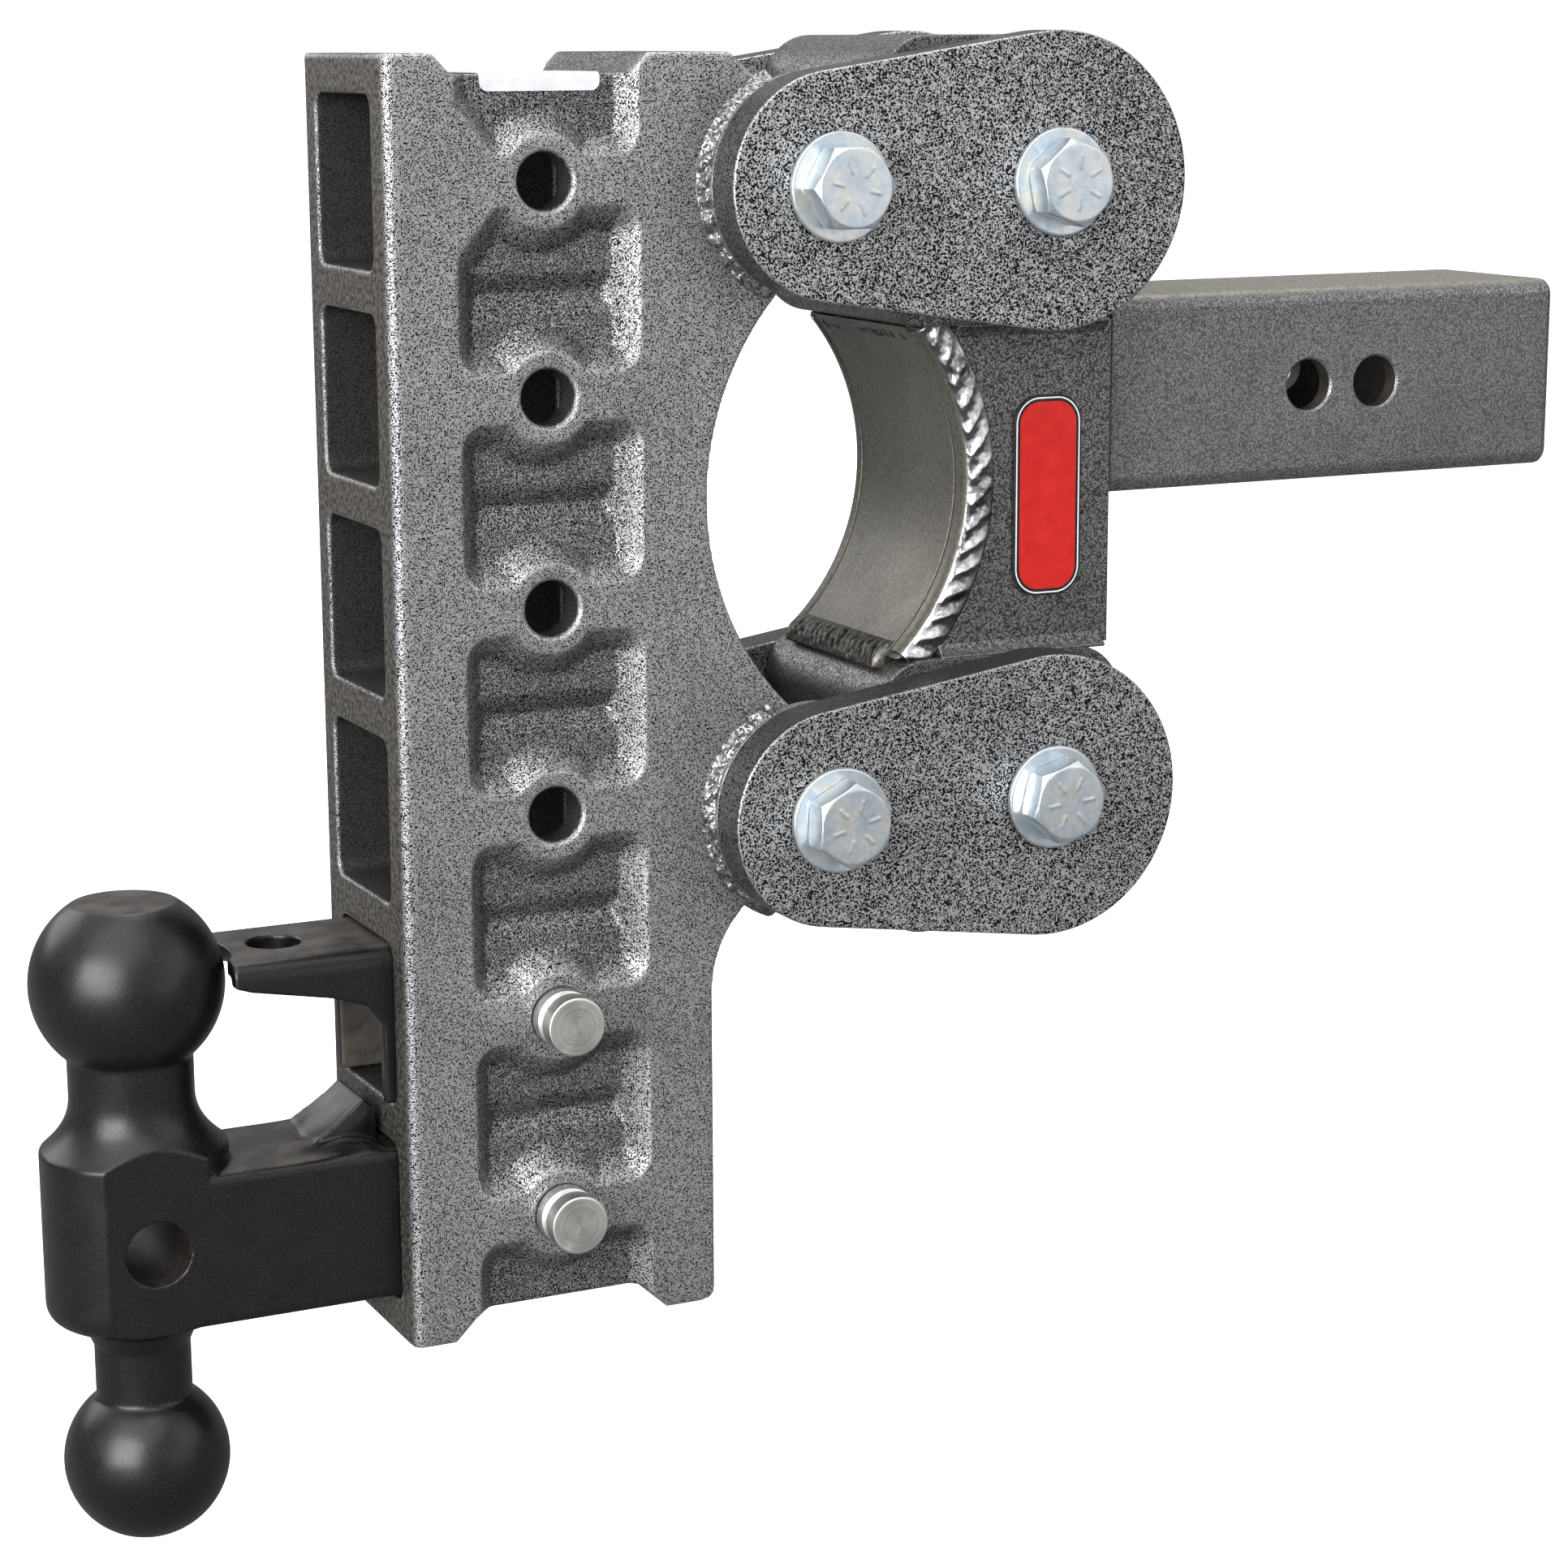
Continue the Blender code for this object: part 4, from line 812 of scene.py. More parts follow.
def make_welds():
    step = 0.45
    face = PLATE_HIGH.y - PLATE_LOW.y
    outer = -PLATE_LOW.y
    inner = outer - face
    low_z, high_z = PLATE_LOW.z, PLATE_HIGH.z

    def painted(x, y, z, normals):      # the inner side of the bead takes the web's paint; its darkness also paints the shade that falls there
        return np.hypot(x - WEB_CENTRE[0], z - WEB_CENTRE[1]) < WEB_RADIUS + 1.2 * MM

    for side, sign in (("near", -1), ("far", 1)):
        section = crown((71.9 * MM, inner + MM), (71.6 * MM, outer + 4.8 * MM), (82.8 * MM, outer),
                        [(81 * MM, outer - MM), (74 * MM, outer - MM), (74 * MM, inner + MM)], 30, -0.25)
        frames = ring_frames(WEB_CENTRE, web_angle(low_z - 2 * MM, 78 * MM),
                web_angle(high_z + 2 * MM, 78 * MM), step, 78 * MM, sign)
        weld(side + "_plate_weld", frames, section, 7.4 * MM, 1.2 * MM, chevron=-0.9, rough=0.5 * MM,
             seed=3 + sign, second=("web_satin", painted))
        for name, seam_z, up in (("upper", high_z, -1), ("lower", low_z, 1)):
            start_x = WEB_CENTRE[0] + 84 * MM * cos(radians(web_angle(seam_z, 84 * MM)))
            end_x = PLATE_HIGH.x - 3 * MM
            frames = line_frames((start_x, 0, seam_z), (end_x, 0, seam_z), step, (0, sign, 0), (0, 0, up))
            section = crown((outer + 3.6 * MM, -0.1 * MM), (outer + 1.1 * MM, 1.1 * MM),
                    (outer - 0.1 * MM, 3.8 * MM), [(outer - MM, 3 * MM), (outer - MM, -MM),
                    (outer + 3 * MM, -MM)], 12)
            weld("%s_%s_seam_weld" % (name, side), frames, section, 3.6 * MM, 0.2 * MM, slant=0.4,
                 rough=0.15 * MM, seed=9 + sign, material="frame")

    # ropes of weld along Y, where the curved web meets the housings
    half = inner - 0.5 * MM
    for name, seam_z, up, lean in (("upper", high_z, -1, 1), ("lower", low_z, 1, -1)):
        x = WEB_CENTRE[0] + WEB_RADIUS * cos(radians(web_angle(seam_z, WEB_RADIUS)))
        frames = line_frames((x, -half, seam_z), (x, half, seam_z), step, (-1, 0, 0), (0, 0, up))
        reach = 3.0 * MM if name == "lower" else -1.5 * MM
        section = crown((reach, -3.5 * MM), (reach, 3.0 * MM), (-4.5 * MM, 4.6 * MM),
                        [(-6 * MM, 2 * MM), (-6 * MM, -2 * MM), (-3 * MM, -4 * MM)], 16)
        weld(name + "_web_weld", frames, section, 3.8 * MM, 0.8 * MM, slant=0.55 * lean, rough=0.7 * MM,
             seed=21 + lean, material="dark_weld")

    # rings of weld round the bosses that carry the arms
    for level in ("upper", "lower"):
        middle = (PIVOT_X, LEVEL_Z[level])
        for side, sign in (("near", -1), ("far", 1)):
            section = crown((37.0 * MM, RACK_HALF_Y), (35.6 * MM, RACK_HALF_Y + 2.6 * MM),
                            (33.6 * MM, HOUSING_HALF_Y - 1.2 * MM),
                            [(32.8 * MM, HOUSING_HALF_Y - 1.4 * MM), (32.8 * MM, RACK_HALF_Y - MM),
                             (37.2 * MM, RACK_HALF_Y - MM)], 14)
            frames = ring_frames(middle, 112, 248, step, 37 * MM, sign)
            weld("%s_%s_boss_weld" % (level, side), frames, section, 6.5 * MM, 0.8 * MM, slant=0.3,
                 rough=1.1 * MM, seed=33 + sign, material="lumpy_weld", body="drop_rack")


# ---- truck side -------------------------------------------------------------------------------

def make_shank():
    side = 2 * SHANK_HIGH.y
    wall = 6.35 * MM
    outline = rounded_rectangle((0, 0), side, side, 5 * MM, 8)
    bore = rounded_rectangle((0, 0), side - 2 * wall, side - 2 * wall, 2.5 * MM, 4)
    mesh = plate([outline, bore], SHANK_HIGH.x - SHANK_LOW.x, 1.1 * MM, "X", (SHANK_HIGH.x + SHANK_LOW.x) / 2)
    cutters = []
    pin_holes = (0.0, -26.7 * MM)
    for x in pin_holes:
        face, lip, radius = side / 2, 0.7 * MM, 8.5 * MM
        profile = [(0, -face - MM), (radius + lip + MM, -face - MM), (radius, lip - face),
                (radius, face - lip), (radius + lip + MM, face + MM), (0, face + MM)]
        cutters.append(turned(profile, 64, (x, 0, 0)))
    mesh = combined(mesh, ("DIFFERENCE", *cutters))
    points = points_of(mesh)
    half, end, reach = side / 2, SHANK_HIGH.x, 3.0        # the insertion end has a wider chamfer
    corner = 5 * MM
    beyond = np.abs(points[:, 1:]) - (half - corner)
    inset = corner - np.hypot(*np.maximum(beyond, 0).T) - np.minimum(beyond.max(axis=1), 0)
    rim = (points[:, 0] > end - 1.2 * MM) & (inset < 1.3 * MM)
    points[rim, 1:] *= (1 - (reach - 1) * inset[rim] / half)[:, None]
    points[rim, 0] = end - (end - points[rim, 0]) * reach
    set_points(mesh, points)
    bore_half = half - wall + 0.2 * MM

    # faces inside the bore and pin holes take painted shade
    def inside(x, y, z, normals):
        chosen = np.maximum(np.abs(y), np.abs(z)) < bore_half
        for hole in pin_holes:
            chosen |= (np.hypot(x - hole, z) < 8.6 * MM) & (np.abs(y) < half - 0.8 * MM)
        return chosen

    piece("receiver_shank", shaded(mesh, 30), "shank", "frame", "hammertone_fine", "shank_tube",
          second=("bore_shade", inside))


def make_frame():
    low_z, high_z = PLATE_LOW.z, PLATE_HIGH.z
    radius = WEB_RADIUS + 1.5 * MM
    outline = arc(WEB_CENTRE, radius, web_angle(low_z, radius), web_angle(high_z, radius), 64)
    outline += [(PLATE_HIGH.x, high_z), (PLATE_HIGH.x, low_z)]
    thickness = PLATE_HIGH.y - PLATE_LOW.y
    for side in ("near", "far"):
        middle = centre(side + "_side_plate").y
        mesh = plate([outline], thickness, 0.8 * MM, at=middle)
        piece(side + "_cheek_plate", shaded(mesh), "frame", "frame", "hammertone_fine", side + "_side_plate")

    low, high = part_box("curved_web")
    outer = WEB_RADIUS + WEB_T
    web = arc(WEB_CENTRE, WEB_RADIUS, web_angle(low_z, WEB_RADIUS), web_angle(high_z, WEB_RADIUS), 72)
    web += arc(WEB_CENTRE, outer, web_angle(high_z, outer), web_angle(low_z, outer), 72)
    mesh = plate([web], high.y - low.y, 0.5 * MM)
    piece("pipe_web", shaded(mesh, 30), "web_satin", "frame", "satin_dark", "curved_web")

    for level in ("upper", "lower"):
        middle = (FRAME_FRONT_X - HOUSING_SIDE / 2, LEVEL_Z[level])
        outline = rounded_rectangle(middle, HOUSING_SIDE, HOUSING_SIDE, HOUSING_CORNER, 14)
        cavity = rounded_rectangle((TRUCK_X, LEVEL_Z[level]), CAVITY_SIDE, CAVITY_SIDE, 3 * MM, 4)
        mesh = plate([outline, cavity], 2 * HOUSING_HALF_Y, 0.8 * MM)
        piece(level + "_housing_tube", shaded(mesh, 30), "housing", "frame", "hammertone_fine",
              level + "_torsion_housing")


def make_badge():
    low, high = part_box("frame_badge")
    middle = ((low.x + high.x) / 2, (low.z + high.z) / 2)
    width, height = high.x - low.x, high.z - low.z
    outline = rounded_rectangle(middle, width, height, 9 * MM, 12)
    mesh = plate([outline], high.y - low.y, 0.25 * MM, at=(low.y + high.y) / 2)
    piece("badge_border", shaded(mesh), "badge_black", "frame", "powder_black", "frame_badge")
    for name, inset, hole, lift, material, slot in (
            ("badge_keyline", 0.7 * MM, 1.15 * MM, 0.05 * MM, "badge_white", "label_white"),
            ("badge_panel", 2.1 * MM, None, 0.12 * MM, "badge_red", "badge_red")):
        outlines = [rounded_rectangle(middle, width - 2 * inset, height - 2 * inset, 9 * MM - inset, 12)]
        if hole:
            outlines.append(rounded_rectangle(middle, width - 2 * hole, height - 2 * hole, 9 * MM - hole, 12))
        mesh = plate(outlines, 0.3 * MM, 0, at=low.y + 0.15 * MM - lift)
        piece(name, shaded(mesh), material, "frame", slot)


# ---- arms -------------------------------------------------------------------------------------

def make_arms():
    distance = TRUCK_X - PIVOT_X
    slope = degrees(acos((ARM_BIG_R - ARM_SMALL_R) / distance))
    bolt = bolt_mesh()
    turns = {"upper_rack": 30.0, "upper_truck": 10.5, "lower_rack": -3.0, "lower_truck": -13.5}
    for level in ("upper", "lower"):
        z = LEVEL_Z[level]
        body = level + "_arms"
        outline = arc((TRUCK_X, z), ARM_BIG_R, slope - 180, 180 - slope, 110)
        outline += arc((PIVOT_X, z), ARM_SMALL_R, 180 - slope, 180 + slope, 60)
        holes = [circle((x, z), BOLT_HOLE_D / 2, 48) for x in (TRUCK_X, PIVOT_X)]
        for side, sign in (("near", -1), ("far", 1)):
            start = "%s_%s_" % (level, side)
            mesh = plate([outline] + holes, ARM_T, 0.9 * MM, at=sign * (ARM_INNER_Y + ARM_T / 2))
            piece(start + "arm_plate", shaded(mesh), "arm", body, "hammertone_bold", start + "arm",
                  second=("arm_rim", lambda x, y, z, normals: (np.abs(normals[:, 1]) - 0.55) ** 2 < 0.12))
            for end, x in (("truck", TRUCK_X), ("rack", PIVOT_X)):
                low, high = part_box(start + end + "_washer")
                half = (high.y - low.y) / 2
                ring = [(8.5 * MM, -half, 0.3 * MM), (16.6 * MM, -half, 0.9 * MM),
                        (16.6 * MM, half, 0.9 * MM), (8.5 * MM, half, 0.3 * MM)]
                mesh = turned(filleted(ring), 96, (x, (low.y + high.y) / 2, z), closed=True)
                node = start + end
                piece(node + "_flat_washer", shaded(mesh), "zinc", body, "zinc", node + "_washer")
                low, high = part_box(node + "_bolt")
                seat = (low.y + 9.9 * MM) if sign < 0 else (high.y - 9.9 * MM)
                mesh = bolt.copy()
                spin = radians(turns[level + "_" + end])
                local = points_of(mesh)
                across = local[:, 0] * cos(spin) - local[:, 2] * sin(spin)
                up = local[:, 0] * sin(spin) + local[:, 2] * cos(spin)
                placed = np.stack([x + across, seat + sign * local[:, 1], z + up], axis=1)
                set_points(mesh, placed)
                if sign > 0:
                    mesh.flip_normals()
                mesh.shade_smooth()
                piece(node + "_hex_bolt", mesh, "zinc", body, "zinc", node + "_bolt")


def bolt_mesh():
    """Hexagon bolt along +Y from its seat at y = 0, with plain radial ticks on its head."""
    flats, head, ring = 23.8 * MM, 9.9 * MM, 13.75 * MM
    corner = flats / sqrt(3)
    hexagon = [(corner * sin(turn), corner * cos(turn)) for turn in map(radians, range(0, 360, 60))]
    form = plate([hexagon], head, at=head / 2)
    dome = filleted([(0, 0, 0), (12.4 * MM, 0, 0), (ring + 0.4 * MM, 1.2 * MM, 1 * MM),
                     (ring + 0.4 * MM, 7.9 * MM, 1.2 * MM), (11.6 * MM, head - 0.35 * MM, 0.8 * MM),
                     (0, head - 0.35 * MM, 0)], False)
    form = combined(form, ("INTERSECT", turned(dome, 64)))
    ticks = []
    for k in range(6):
        angle = radians(60 * k + 12)
        along = Vector((sin(angle), 0, cos(angle)))
        across = Vector((along.z, 0, -along.x)) * 0.32 * MM
        ends = [along * 4.4 * MM, along * 8.2 * MM]
        outline = [ends[0] - across, ends[0] + across, ends[1] + across, ends[1] - across]
        ticks.append(plate([[(spot.x, spot.z) for spot in outline]], 1.4 * MM, at=head - 0.88 * MM))
    reach = 40 * MM
    stem = [(0, 0.5 * MM), (7.95 * MM, 0.5 * MM), (7.95 * MM, 1.5 * MM - reach), (6.4 * MM, -reach),
            (0, -reach)]
    form = combined(form, ("UNION", turned(stem, 48), *ticks))
    return thinned(remeshed(form, 0.34 * MM, 2), BOLT_TRIANGLES)


# ---- ball mount and pintle lock ---------------------------------------------------------------

def make_ball_mount():
    bar_z = LOWER_PIN.z
    bar_top, bar_bottom = bar_z + BAR_SIDE / 2, bar_z - BAR_SIDE / 2
    block_top = bar_top + 6 * MM
    neck, low_neck = 19 * MM, 14.7 * MM
    flat = degrees(acos(15.5 * MM / UPPER_BALL_R))
    under = -degrees(acos(neck / UPPER_BALL_R))
    profile = [(0, UPPER_BALL_Z + UPPER_BALL_R * sin(radians(flat)))]
    profile += arc((0, UPPER_BALL_Z), UPPER_BALL_R, flat, under, 60)
    for step in range(13):
        share = step / 12
        profile.append((neck + (BLOCK_R - neck) * share ** 2.2, block_top + 17 * MM * (1 - share)))
    profile += filleted([(BLOCK_R, block_top, 0), (BLOCK_R, bar_bottom + MM, 7 * MM),
            (low_neck + 3 * MM, bar_bottom - 2.2 * MM, 3 * MM), (low_neck, bar_bottom - 9 * MM, 0)],
            False)[1:]
    low_start = degrees(acos(low_neck / LOWER_BALL_R))
    profile += arc((0, LOWER_BALL_Z), LOWER_BALL_R, low_start, -90, 60)
    form = turned(profile, 128, (BALL_X, 0, 0), "Z")
    flats = [block((BALL_X - 60 * MM, sign * 1.25 * BAR_SIDE - 0.75 * BAR_SIDE, bar_bottom - 12 * MM),
                   (BALL_X + 60 * MM, sign * 1.25 * BAR_SIDE + 0.75 * BAR_SIDE, block_top + 7 * MM))
             for sign in (-1, 1)]
    high_x = HOLE_X + 24 * MM
    bar_outline = rounded_rectangle((0, bar_z), BAR_SIDE - 0.02 * MM, BAR_SIDE, 2.4 * MM, 4)
    bar = plate([bar_outline], high_x - BALL_X, 0, "X", (high_x + BALL_X) / 2)
    lug = filleted([(-24, -4, 0), (-22, 1, 3), (-16.5, 5, 1), (-6, 14.5, 1.2), (-2.5, 10, 1), (-2, -4, 0)])
    lug = plate([[(RACK_LOW.x + a * MM, bar_top + b * MM) for a, b in lug]], 24 * MM)
    hole_z = bar_z + 2 * MM
    form = combined(form, ("DIFFERENCE", *flats), ("UNION", bar, lug),
                    ("DIFFERENCE", rod(10 * MM, (BALL_X, -0.1, hole_z), (BALL_X, 0.1, hole_z), 64),
                     rod(HOLE_D / 2, (HOLE_X, -0.1, bar_z), (HOLE_X, 0.1, bar_z), 64)))
    mesh = remeshed(form, 0.7 * MM, 3)

    points = points_of(mesh)
    random = np.random.default_rng(7)
    # smooth puddles of weld at the sides and rear foot of the stop lug, and saw marks on its slope
    for sign in (-1, 1):
        for x, y, z, size, lift in ((-10, 15, 3, 7.0, 3.4), (-16, 14, 1, 7.0, 3.0), (-5, 14, 8, 5.0, 2.4),
                                    (-23, 11, 0, 7.0, 2.2), (-27, 6, 0, 7.5, 1.6), (-7, 18, 1, 5.0, 1.6)):
            spot = np.array([RACK_LOW.x + x * MM, sign * y * MM, bar_top + z * MM])
            away = np.linalg.norm(points - spot, axis=1) / (size * MM)
            push = lift * MM * np.exp(-away ** 2 * 1.6)
            skin = (points[:, 2] > bar_top - 0.5 * MM) & (points[:, 0] < RACK_LOW.x - 1.2 * MM)
            points[:, 2] += np.where(skin, push * 0.8, 0)
            flank = skin & (np.abs(points[:, 1]) > 9 * MM) & (np.sign(points[:, 1]) == sign)
            points[:, 1] += np.where(flank, sign * push * 0.4, 0)
    slope = ((points[:, 2] > bar_top + 5.5 * MM) & (points[:, 0] < RACK_LOW.x - 6.5 * MM)
             & (points[:, 0] > RACK_LOW.x - 17 * MM) & (np.abs(points[:, 1]) < 9.5 * MM))
    marks = np.sin(points[:, 1] / MM * 4.2 + np.sin(points[:, 2] / MM)) * 0.14 * MM
    points[:, 2] += np.where(slope, marks, 0)
    # the balls are ground: their skins are true spheres
    for middle_z, radius, low_z, high_z in ((UPPER_BALL_Z, UPPER_BALL_R, -21 * MM, 23.5 * MM),
                                            (LOWER_BALL_Z, LOWER_BALL_R, -30 * MM, 19 * MM)):
        offset = points - np.array([BALL_X, 0, middle_z])
        distance = np.linalg.norm(offset, axis=1)
        on_ball = (np.abs(distance - radius) < 0.6 * MM) & (offset[:, 2] > low_z) & (offset[:, 2] < high_z)
        offset[on_ball] *= (radius / distance[on_ball])[:, None]
        points[on_ball] = offset[on_ball] + np.array([BALL_X, 0, middle_z])
    set_points(mesh, points)

    # the wall of the cross hole takes painted shade
    def inside(x, y, z, normals):
        return np.hypot(x - BALL_X, z - hole_z) < 10.2 * MM

    piece("dual_ball_mount", thinned(mesh, MOUNT_TRIANGLES), "powder", "drop_rack", "powder_black",
            "ball_mount", second=("ball_bore_shade", inside))


def make_pintle_lock():
    sheet = 4.8 * MM
    lock_z = UPPER_PIN.z
    top_z = lock_z + SOCKET_H / 2 - 0.6 * MM
    bottom_z = lock_z - SOCKET_H / 2 + 0.7 * MM
    half = BAR_SIDE / 2
    outer = [(-half, bottom_z, 1.5 * MM), (sheet - half, bottom_z, 0.5 * MM),
            (sheet - half, top_z - sheet, 2 * MM), (half - sheet, top_z - sheet, 2 * MM),
            (half - sheet, bottom_z, 0.5 * MM), (half, bottom_z, 1.5 * MM), (half, top_z, 6 * MM),
            (-half, top_z, 6 * MM)]
    front_x, rear_x = HOLE_X + 22 * MM, RACK_LOW.x - 49 * MM
    form = plate([filleted(outer)], front_x - rear_x, 0, "X", (front_x + rear_x) / 2)
    side = [(-52, 5, 0), (-52, -6.3, 0), (-44, -9, 2), (-19, -13.8, 4), (-8, -17.3, 4), (-3, -24, 4),
            (-2, -60, 0), (400, -60, 0), (400, 5, 0)]
    outline = filleted([(RACK_LOW.x + a * MM, top_z + b * MM, r * MM) for a, b, r in side])
    hole_x = HOLE_X - 79.5 * MM
    form = combined(form, ("INTERSECT", plate([outline], 4 * half)),
            ("DIFFERENCE", rod(UPPER_BALL_R + 1.5 * MM, (BALL_X, 0, top_z - 0.03), (BALL_X, 0, top_z + 0.03),
            128), rod(8.3 * MM, (hole_x, 0, top_z - 0.015), (hole_x, 0, top_z + 0.015), 64),
            rod(HOLE_D / 2, (HOLE_X, -0.1, lock_z), (HOLE_X, 0.1, lock_z), 64)))
    mesh = thinned(remeshed(form, 0.65 * MM, 2), LOCK_TRIANGLES)

    # the channel's inner faces take the lighter tone, painted light
    def inside(x, y, z, normals):
        between = np.abs(y) < half - sheet + 0.5 * MM
        return between & (z < top_z - sheet + 0.5 * MM) & (x > RACK_LOW.x - 4 * MM)

    piece("pintle_lock_channel", mesh, "powder", "drop_rack", "powder_black", "pintle_lock",
          second=("channel_fill_light", inside))


def make_pins():
    for level, axis in (("upper", UPPER_PIN), ("lower", LOWER_PIN)):
        face = RACK_HALF_Y + GAP
        head, shaft = 9.3 * MM, 7.95 * MM
        tail = CLIP_Y + 6 * MM
        top = face + 13.8 * MM
        outline = [(0, top, 0), (head, top, 0.9 * MM), (head, face + 7.8 * MM, 0.5 * MM),
                   (head - 2.4 * MM, face + 6.4 * MM, 0.4 * MM), (head - 2.4 * MM, face + 5.7 * MM, 0.4 * MM),
                   (head, face + 4.4 * MM, 0.5 * MM), (head, face, 0.4 * MM), (shaft, face, 0.2 * MM),
                   (shaft, 2 * MM - tail, 1 * MM), (shaft - 2 * MM, -tail, 0.5 * MM), (0, -tail, 0)]
        profile = [(radius, -along) for radius, along in filleted(outline, False, 5)]
        form = turned(profile, 96, (axis.x, 0, axis.z))
        hole = rod(2.1 * MM, (axis.x - 0.02, CLIP_Y, axis.z), (axis.x + 0.02, CLIP_Y, axis.z), 32)
        mesh = shaded(combined(form, ("DIFFERENCE", hole)), 32)
        piece(level + "_turned_pin", mesh, level + "_stainless", level + "_hitch_pin", "stainless",
              level + "_pin")

        ring = 9 * MM
        path = [(13 * MM, 0)] + [(13 * MM - 23 * MM * k / 12, 0) for k in range(1, 13)]
        path += arc((-13 * MM - ring, 0), ring, 0, 325, 60)
        wire = [(axis.x + along, CLIP_Y, axis.z + up) for along, up in path]
        mesh = drawn([wire], False, dimensions="3D", bevel_depth=1.8 * MM, bevel_resolution=6,
                use_fill_caps=True)
        mesh = shaded(mesh, 50)
        piece(level + "_ring_clip", mesh, "zinc", level + "_pin_clip", "zinc", level + "_clip")


def make_label():
    """Blank label: a thin sheet with round corners, folded over the edge of the top notch."""
    low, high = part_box("rack_label")
    rise = TOP_NOTCH_Z - low.z
    bend = 1.6 * MM
    side_y = RACK_HALF_Y - RECESS_DEPTH
    length = rise + 30 * MM
    outline = rounded_rectangle(((low.x + high.x) / 2, length / 2), high.x - low.x, length, 2.6 * MM, 6)
    mesh = plate([outline], 0.24 * MM, 0, "Z", 0.34 * MM)
    start, turn = rise - bend, bend * pi / 2
    with edited(mesh) as form:
        for step in range(9):
            geometry = form.verts[:] + form.edges[:] + form.faces[:]
            place = (0, start + turn * step / 8, 0)
            bmesh.ops.bisect_plane(form, geom=geometry, plane_co=place, plane_no=(0, 1, 0))
        for vert in form.verts:
            x, along, lift = vert.co
            if along <= start:
                vert.co = (x, -side_y - lift, low.z + along)
            elif along <= start + turn:
                angle = (along - start) / bend
                reach = bend + lift
                vert.co = (x, -side_y + bend - reach * cos(angle), TOP_NOTCH_Z - bend + reach * sin(angle))
            else:
                vert.co = (x, -side_y + bend + along - start - turn, TOP_NOTCH_Z + lift)
    piece("blank_label", shaded(mesh), "label_white", "drop_rack", "label_white", "rack_label")


# ---- nodes that stay, camera, light and floor -------------------------------------------------

def finish_nodes():
    for name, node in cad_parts.items():
        if node.hide_render:
            continue
        key = "frame"
        for word, material in (("cord", "rubber"), ("bush", "bronze"), ("torsion_bar", "bar_steel"),
                               ("shaft", "bar_steel")):
            if word in name:
                key = material
        if not node.material_slots:
            node.data.materials.append(None)
        for number in range(len(node.material_slots)):
            node.material_slots[number].material = MATERIALS[key]


def make_camera():
    data = bpy.data.cameras.new("camera")
    data.lens = 80.648
    data.sensor_width = 36.0
    camera = added(data, "camera")
    yaw, pitch, roll = radians(25.83), radians(12.03), radians(-0.22)
    forward = Vector((sin(yaw) * cos(pitch), cos(yaw) * cos(pitch), -sin(pitch)))
    level = Vector((cos(yaw), -sin(yaw), 0))
    rise = level.cross(forward)
    right = level * cos(roll) + rise * sin(roll)
    up = rise * cos(roll) - level * sin(roll)
    matrix = camera.matrix_world.copy()
    for row in range(3):
        matrix[row][0], matrix[row][1], matrix[row][2] = right[row], up[row], -forward[row]
    matrix.translation = (-0.69282, -1.00675, 0.1141)
    camera.matrix_world = matrix
    data.clip_start = 0.01
    data.clip_end = 200
    bpy.context.scene.camera = camera


def softbox(name, place, size, power, target=(-0.2, 0, -0.1)):
    data = bpy.data.lights.new(name, "AREA")
    data.shape = "RECTANGLE"
    data.size, data.size_y = size
    data.energy = power
    lamp = added(data, name)
    lamp.location = place
    lamp.rotation_euler = (Vector(target) - Vector(place)).to_track_quat("-Z", "Y").to_euler()


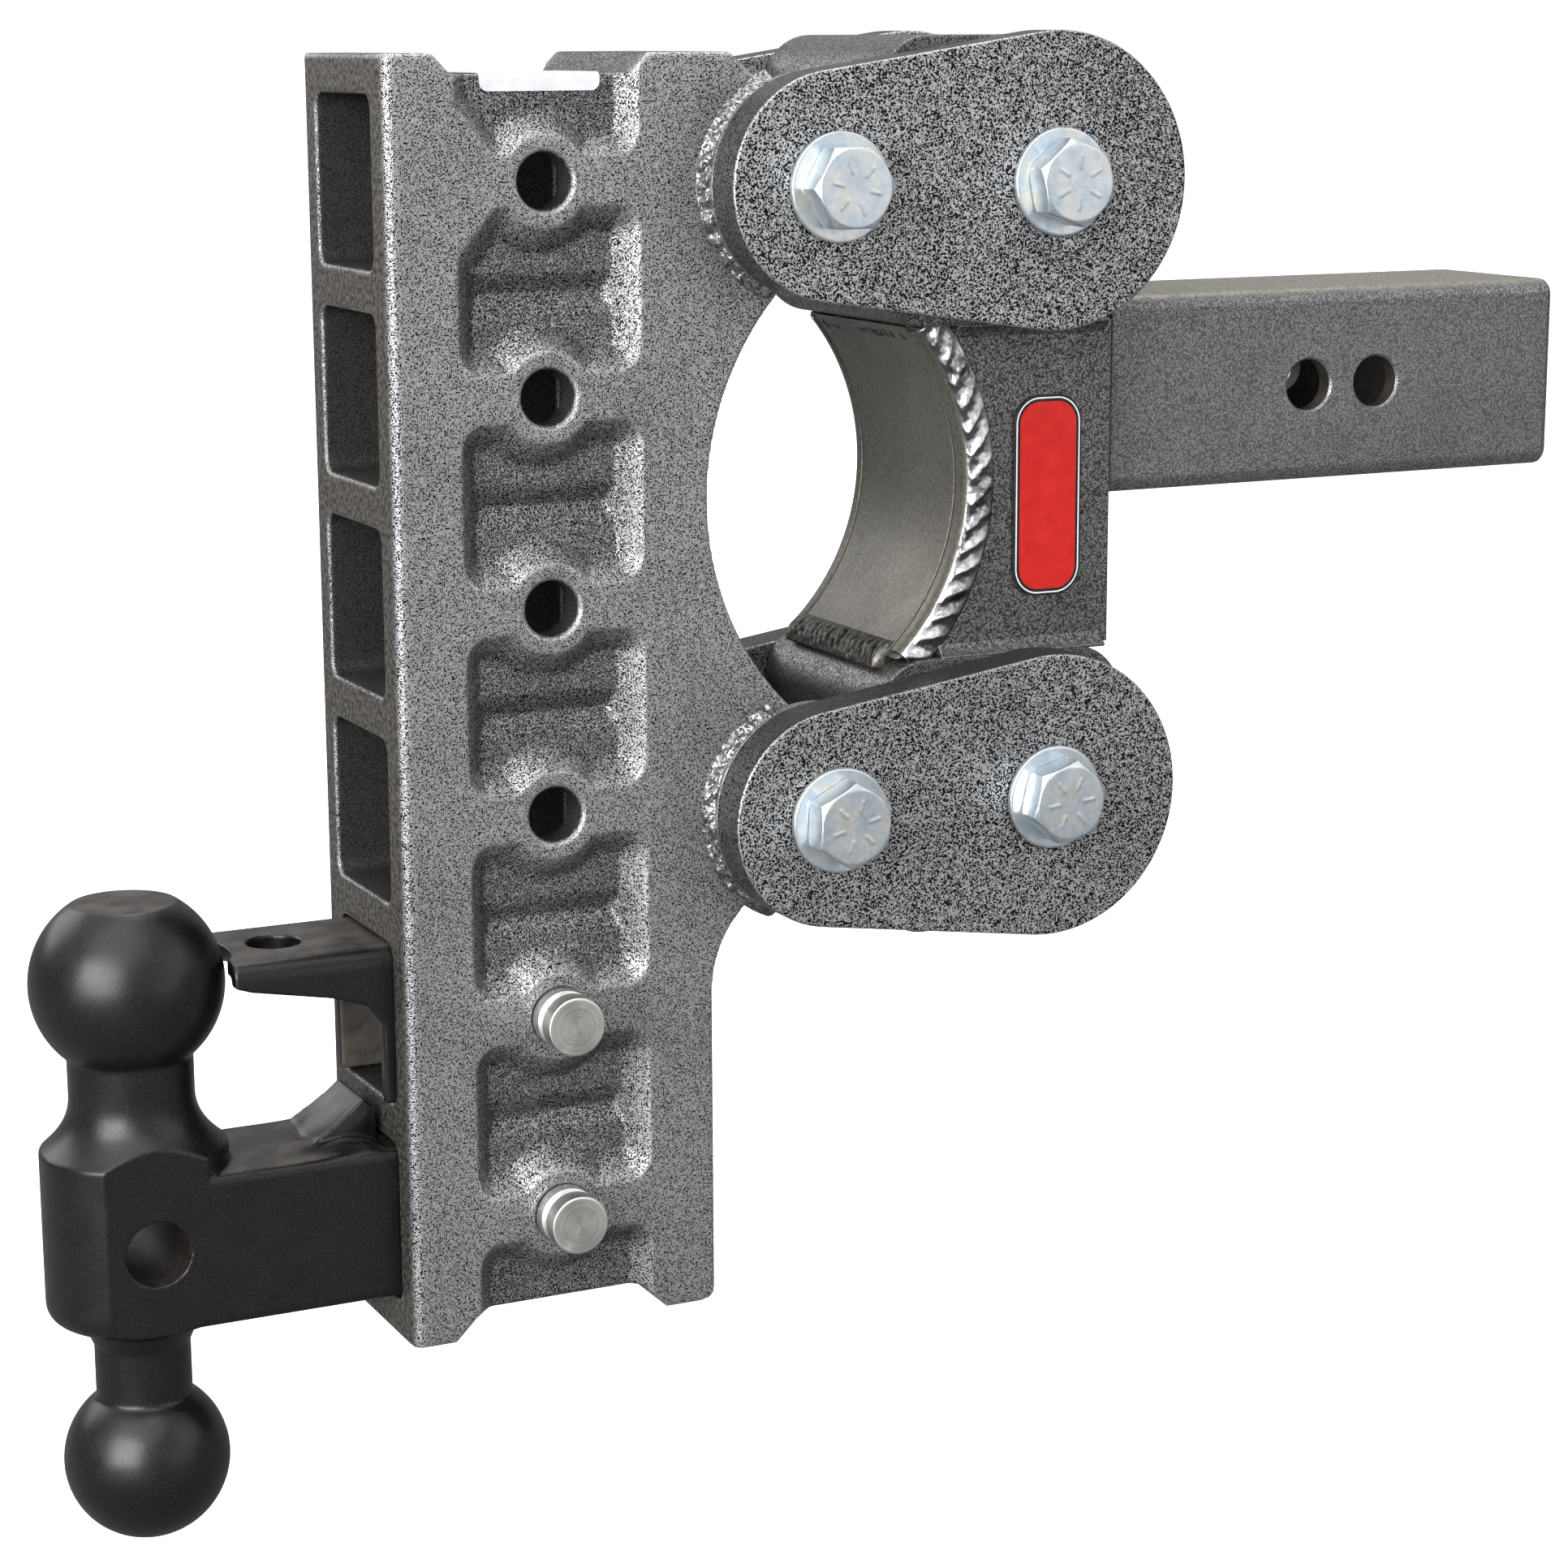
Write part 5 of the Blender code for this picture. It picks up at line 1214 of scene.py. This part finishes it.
def make_world():
    """White to look at; as light it is bright above, mid at the horizon and dim below."""
    world = bpy.data.worlds.new("studio")
    bpy.context.scene.world = world
    world.use_nodes = True
    sky = Nodes(world.node_tree)
    up = sky.split(sky.node("ShaderNodeTexCoord").outputs["Generated"], "Z")
    levels = ((0.40, 0.10), (0.52, 0.22), (0.75, 0.55), (1.0, 1.0))
    light = sky.ramp(sky.spread(up, -1.0, 1.0, 0.0, 1.0),
                     *((place, (level, level, level * 1.02)) for place, level in levels))
    seen = sky.node("ShaderNodeLightPath").outputs["Is Camera Ray"]
    background = sky.tree.nodes["Background"]
    sky.link(sky.mix(seen, light, (1.0, 1.0, 1.0)), background.inputs["Color"])
    background.inputs["Strength"].default_value = 1.0


def make_stage():
    make_world()
    bpy.context.scene.view_settings.view_transform = "Standard"
    data = bpy.data.lights.new("sun", "SUN")
    data.energy = 1.1
    data.angle = radians(60)
    sun = added(data, "sun")
    sun.rotation_euler = Vector((-0.45, -0.75, 1.5)).to_track_quat("Z", "Y").to_euler()
    for name, place, size, power in (
            ("key", (-1.75, -1.20, 0.42), (1.5, 1.2), 53), ("front", (0.75, -2.0, 0.0), (1.6, 1.0), 4),
            ("back", (-1.3, 1.6, 0.9), (1.5, 1.2), 12), ("fill", (1.4, -1.4, 0.9), (1.4, 1.2), 5),
            ("top", (0.2, 0.6, 1.9), (1.4, 1.0), 16)):
        softbox(name, place, size, power)

    low = LOWER_BALL_Z - LOWER_BALL_R - FLOOR_DROP
    form = bmesh.new()
    bmesh.ops.create_circle(form, cap_ends=True, segments=96, radius=60)
    bmesh.ops.translate(form, vec=(0, 0, low), verts=form.verts)
    mesh = bpy.data.meshes.new("floor")
    form.to_mesh(mesh)
    form.free()
    surface = Surface("floor_paper", 0.0, 0.9, Emission_Color=(1, 1, 1, 1))
    seen = surface.node("ShaderNodeLightPath").outputs["Is Camera Ray"]
    paper = surface.ramp(surface.noise(3, 3.0), (0.3, 0.90), (0.7, 0.93))
    surface.colour(surface.mix(seen, (0.16, 0.16, 0.16), paper))
    surface.link(surface.spread(seen, 0.0, 1.0, 0.0, 0.50), surface.shader.inputs["Emission Strength"])
    mesh.materials.append(surface.material)
    floor = added(mesh, "floor")


make_camera()
MATERIALS = make_materials()
make_stage()
make_shank()
make_frame()
make_badge()
make_arms()
make_rack()
make_pads()
make_welds()
make_ball_mount()
make_pintle_lock()
make_pins()
make_label()
finish_nodes()
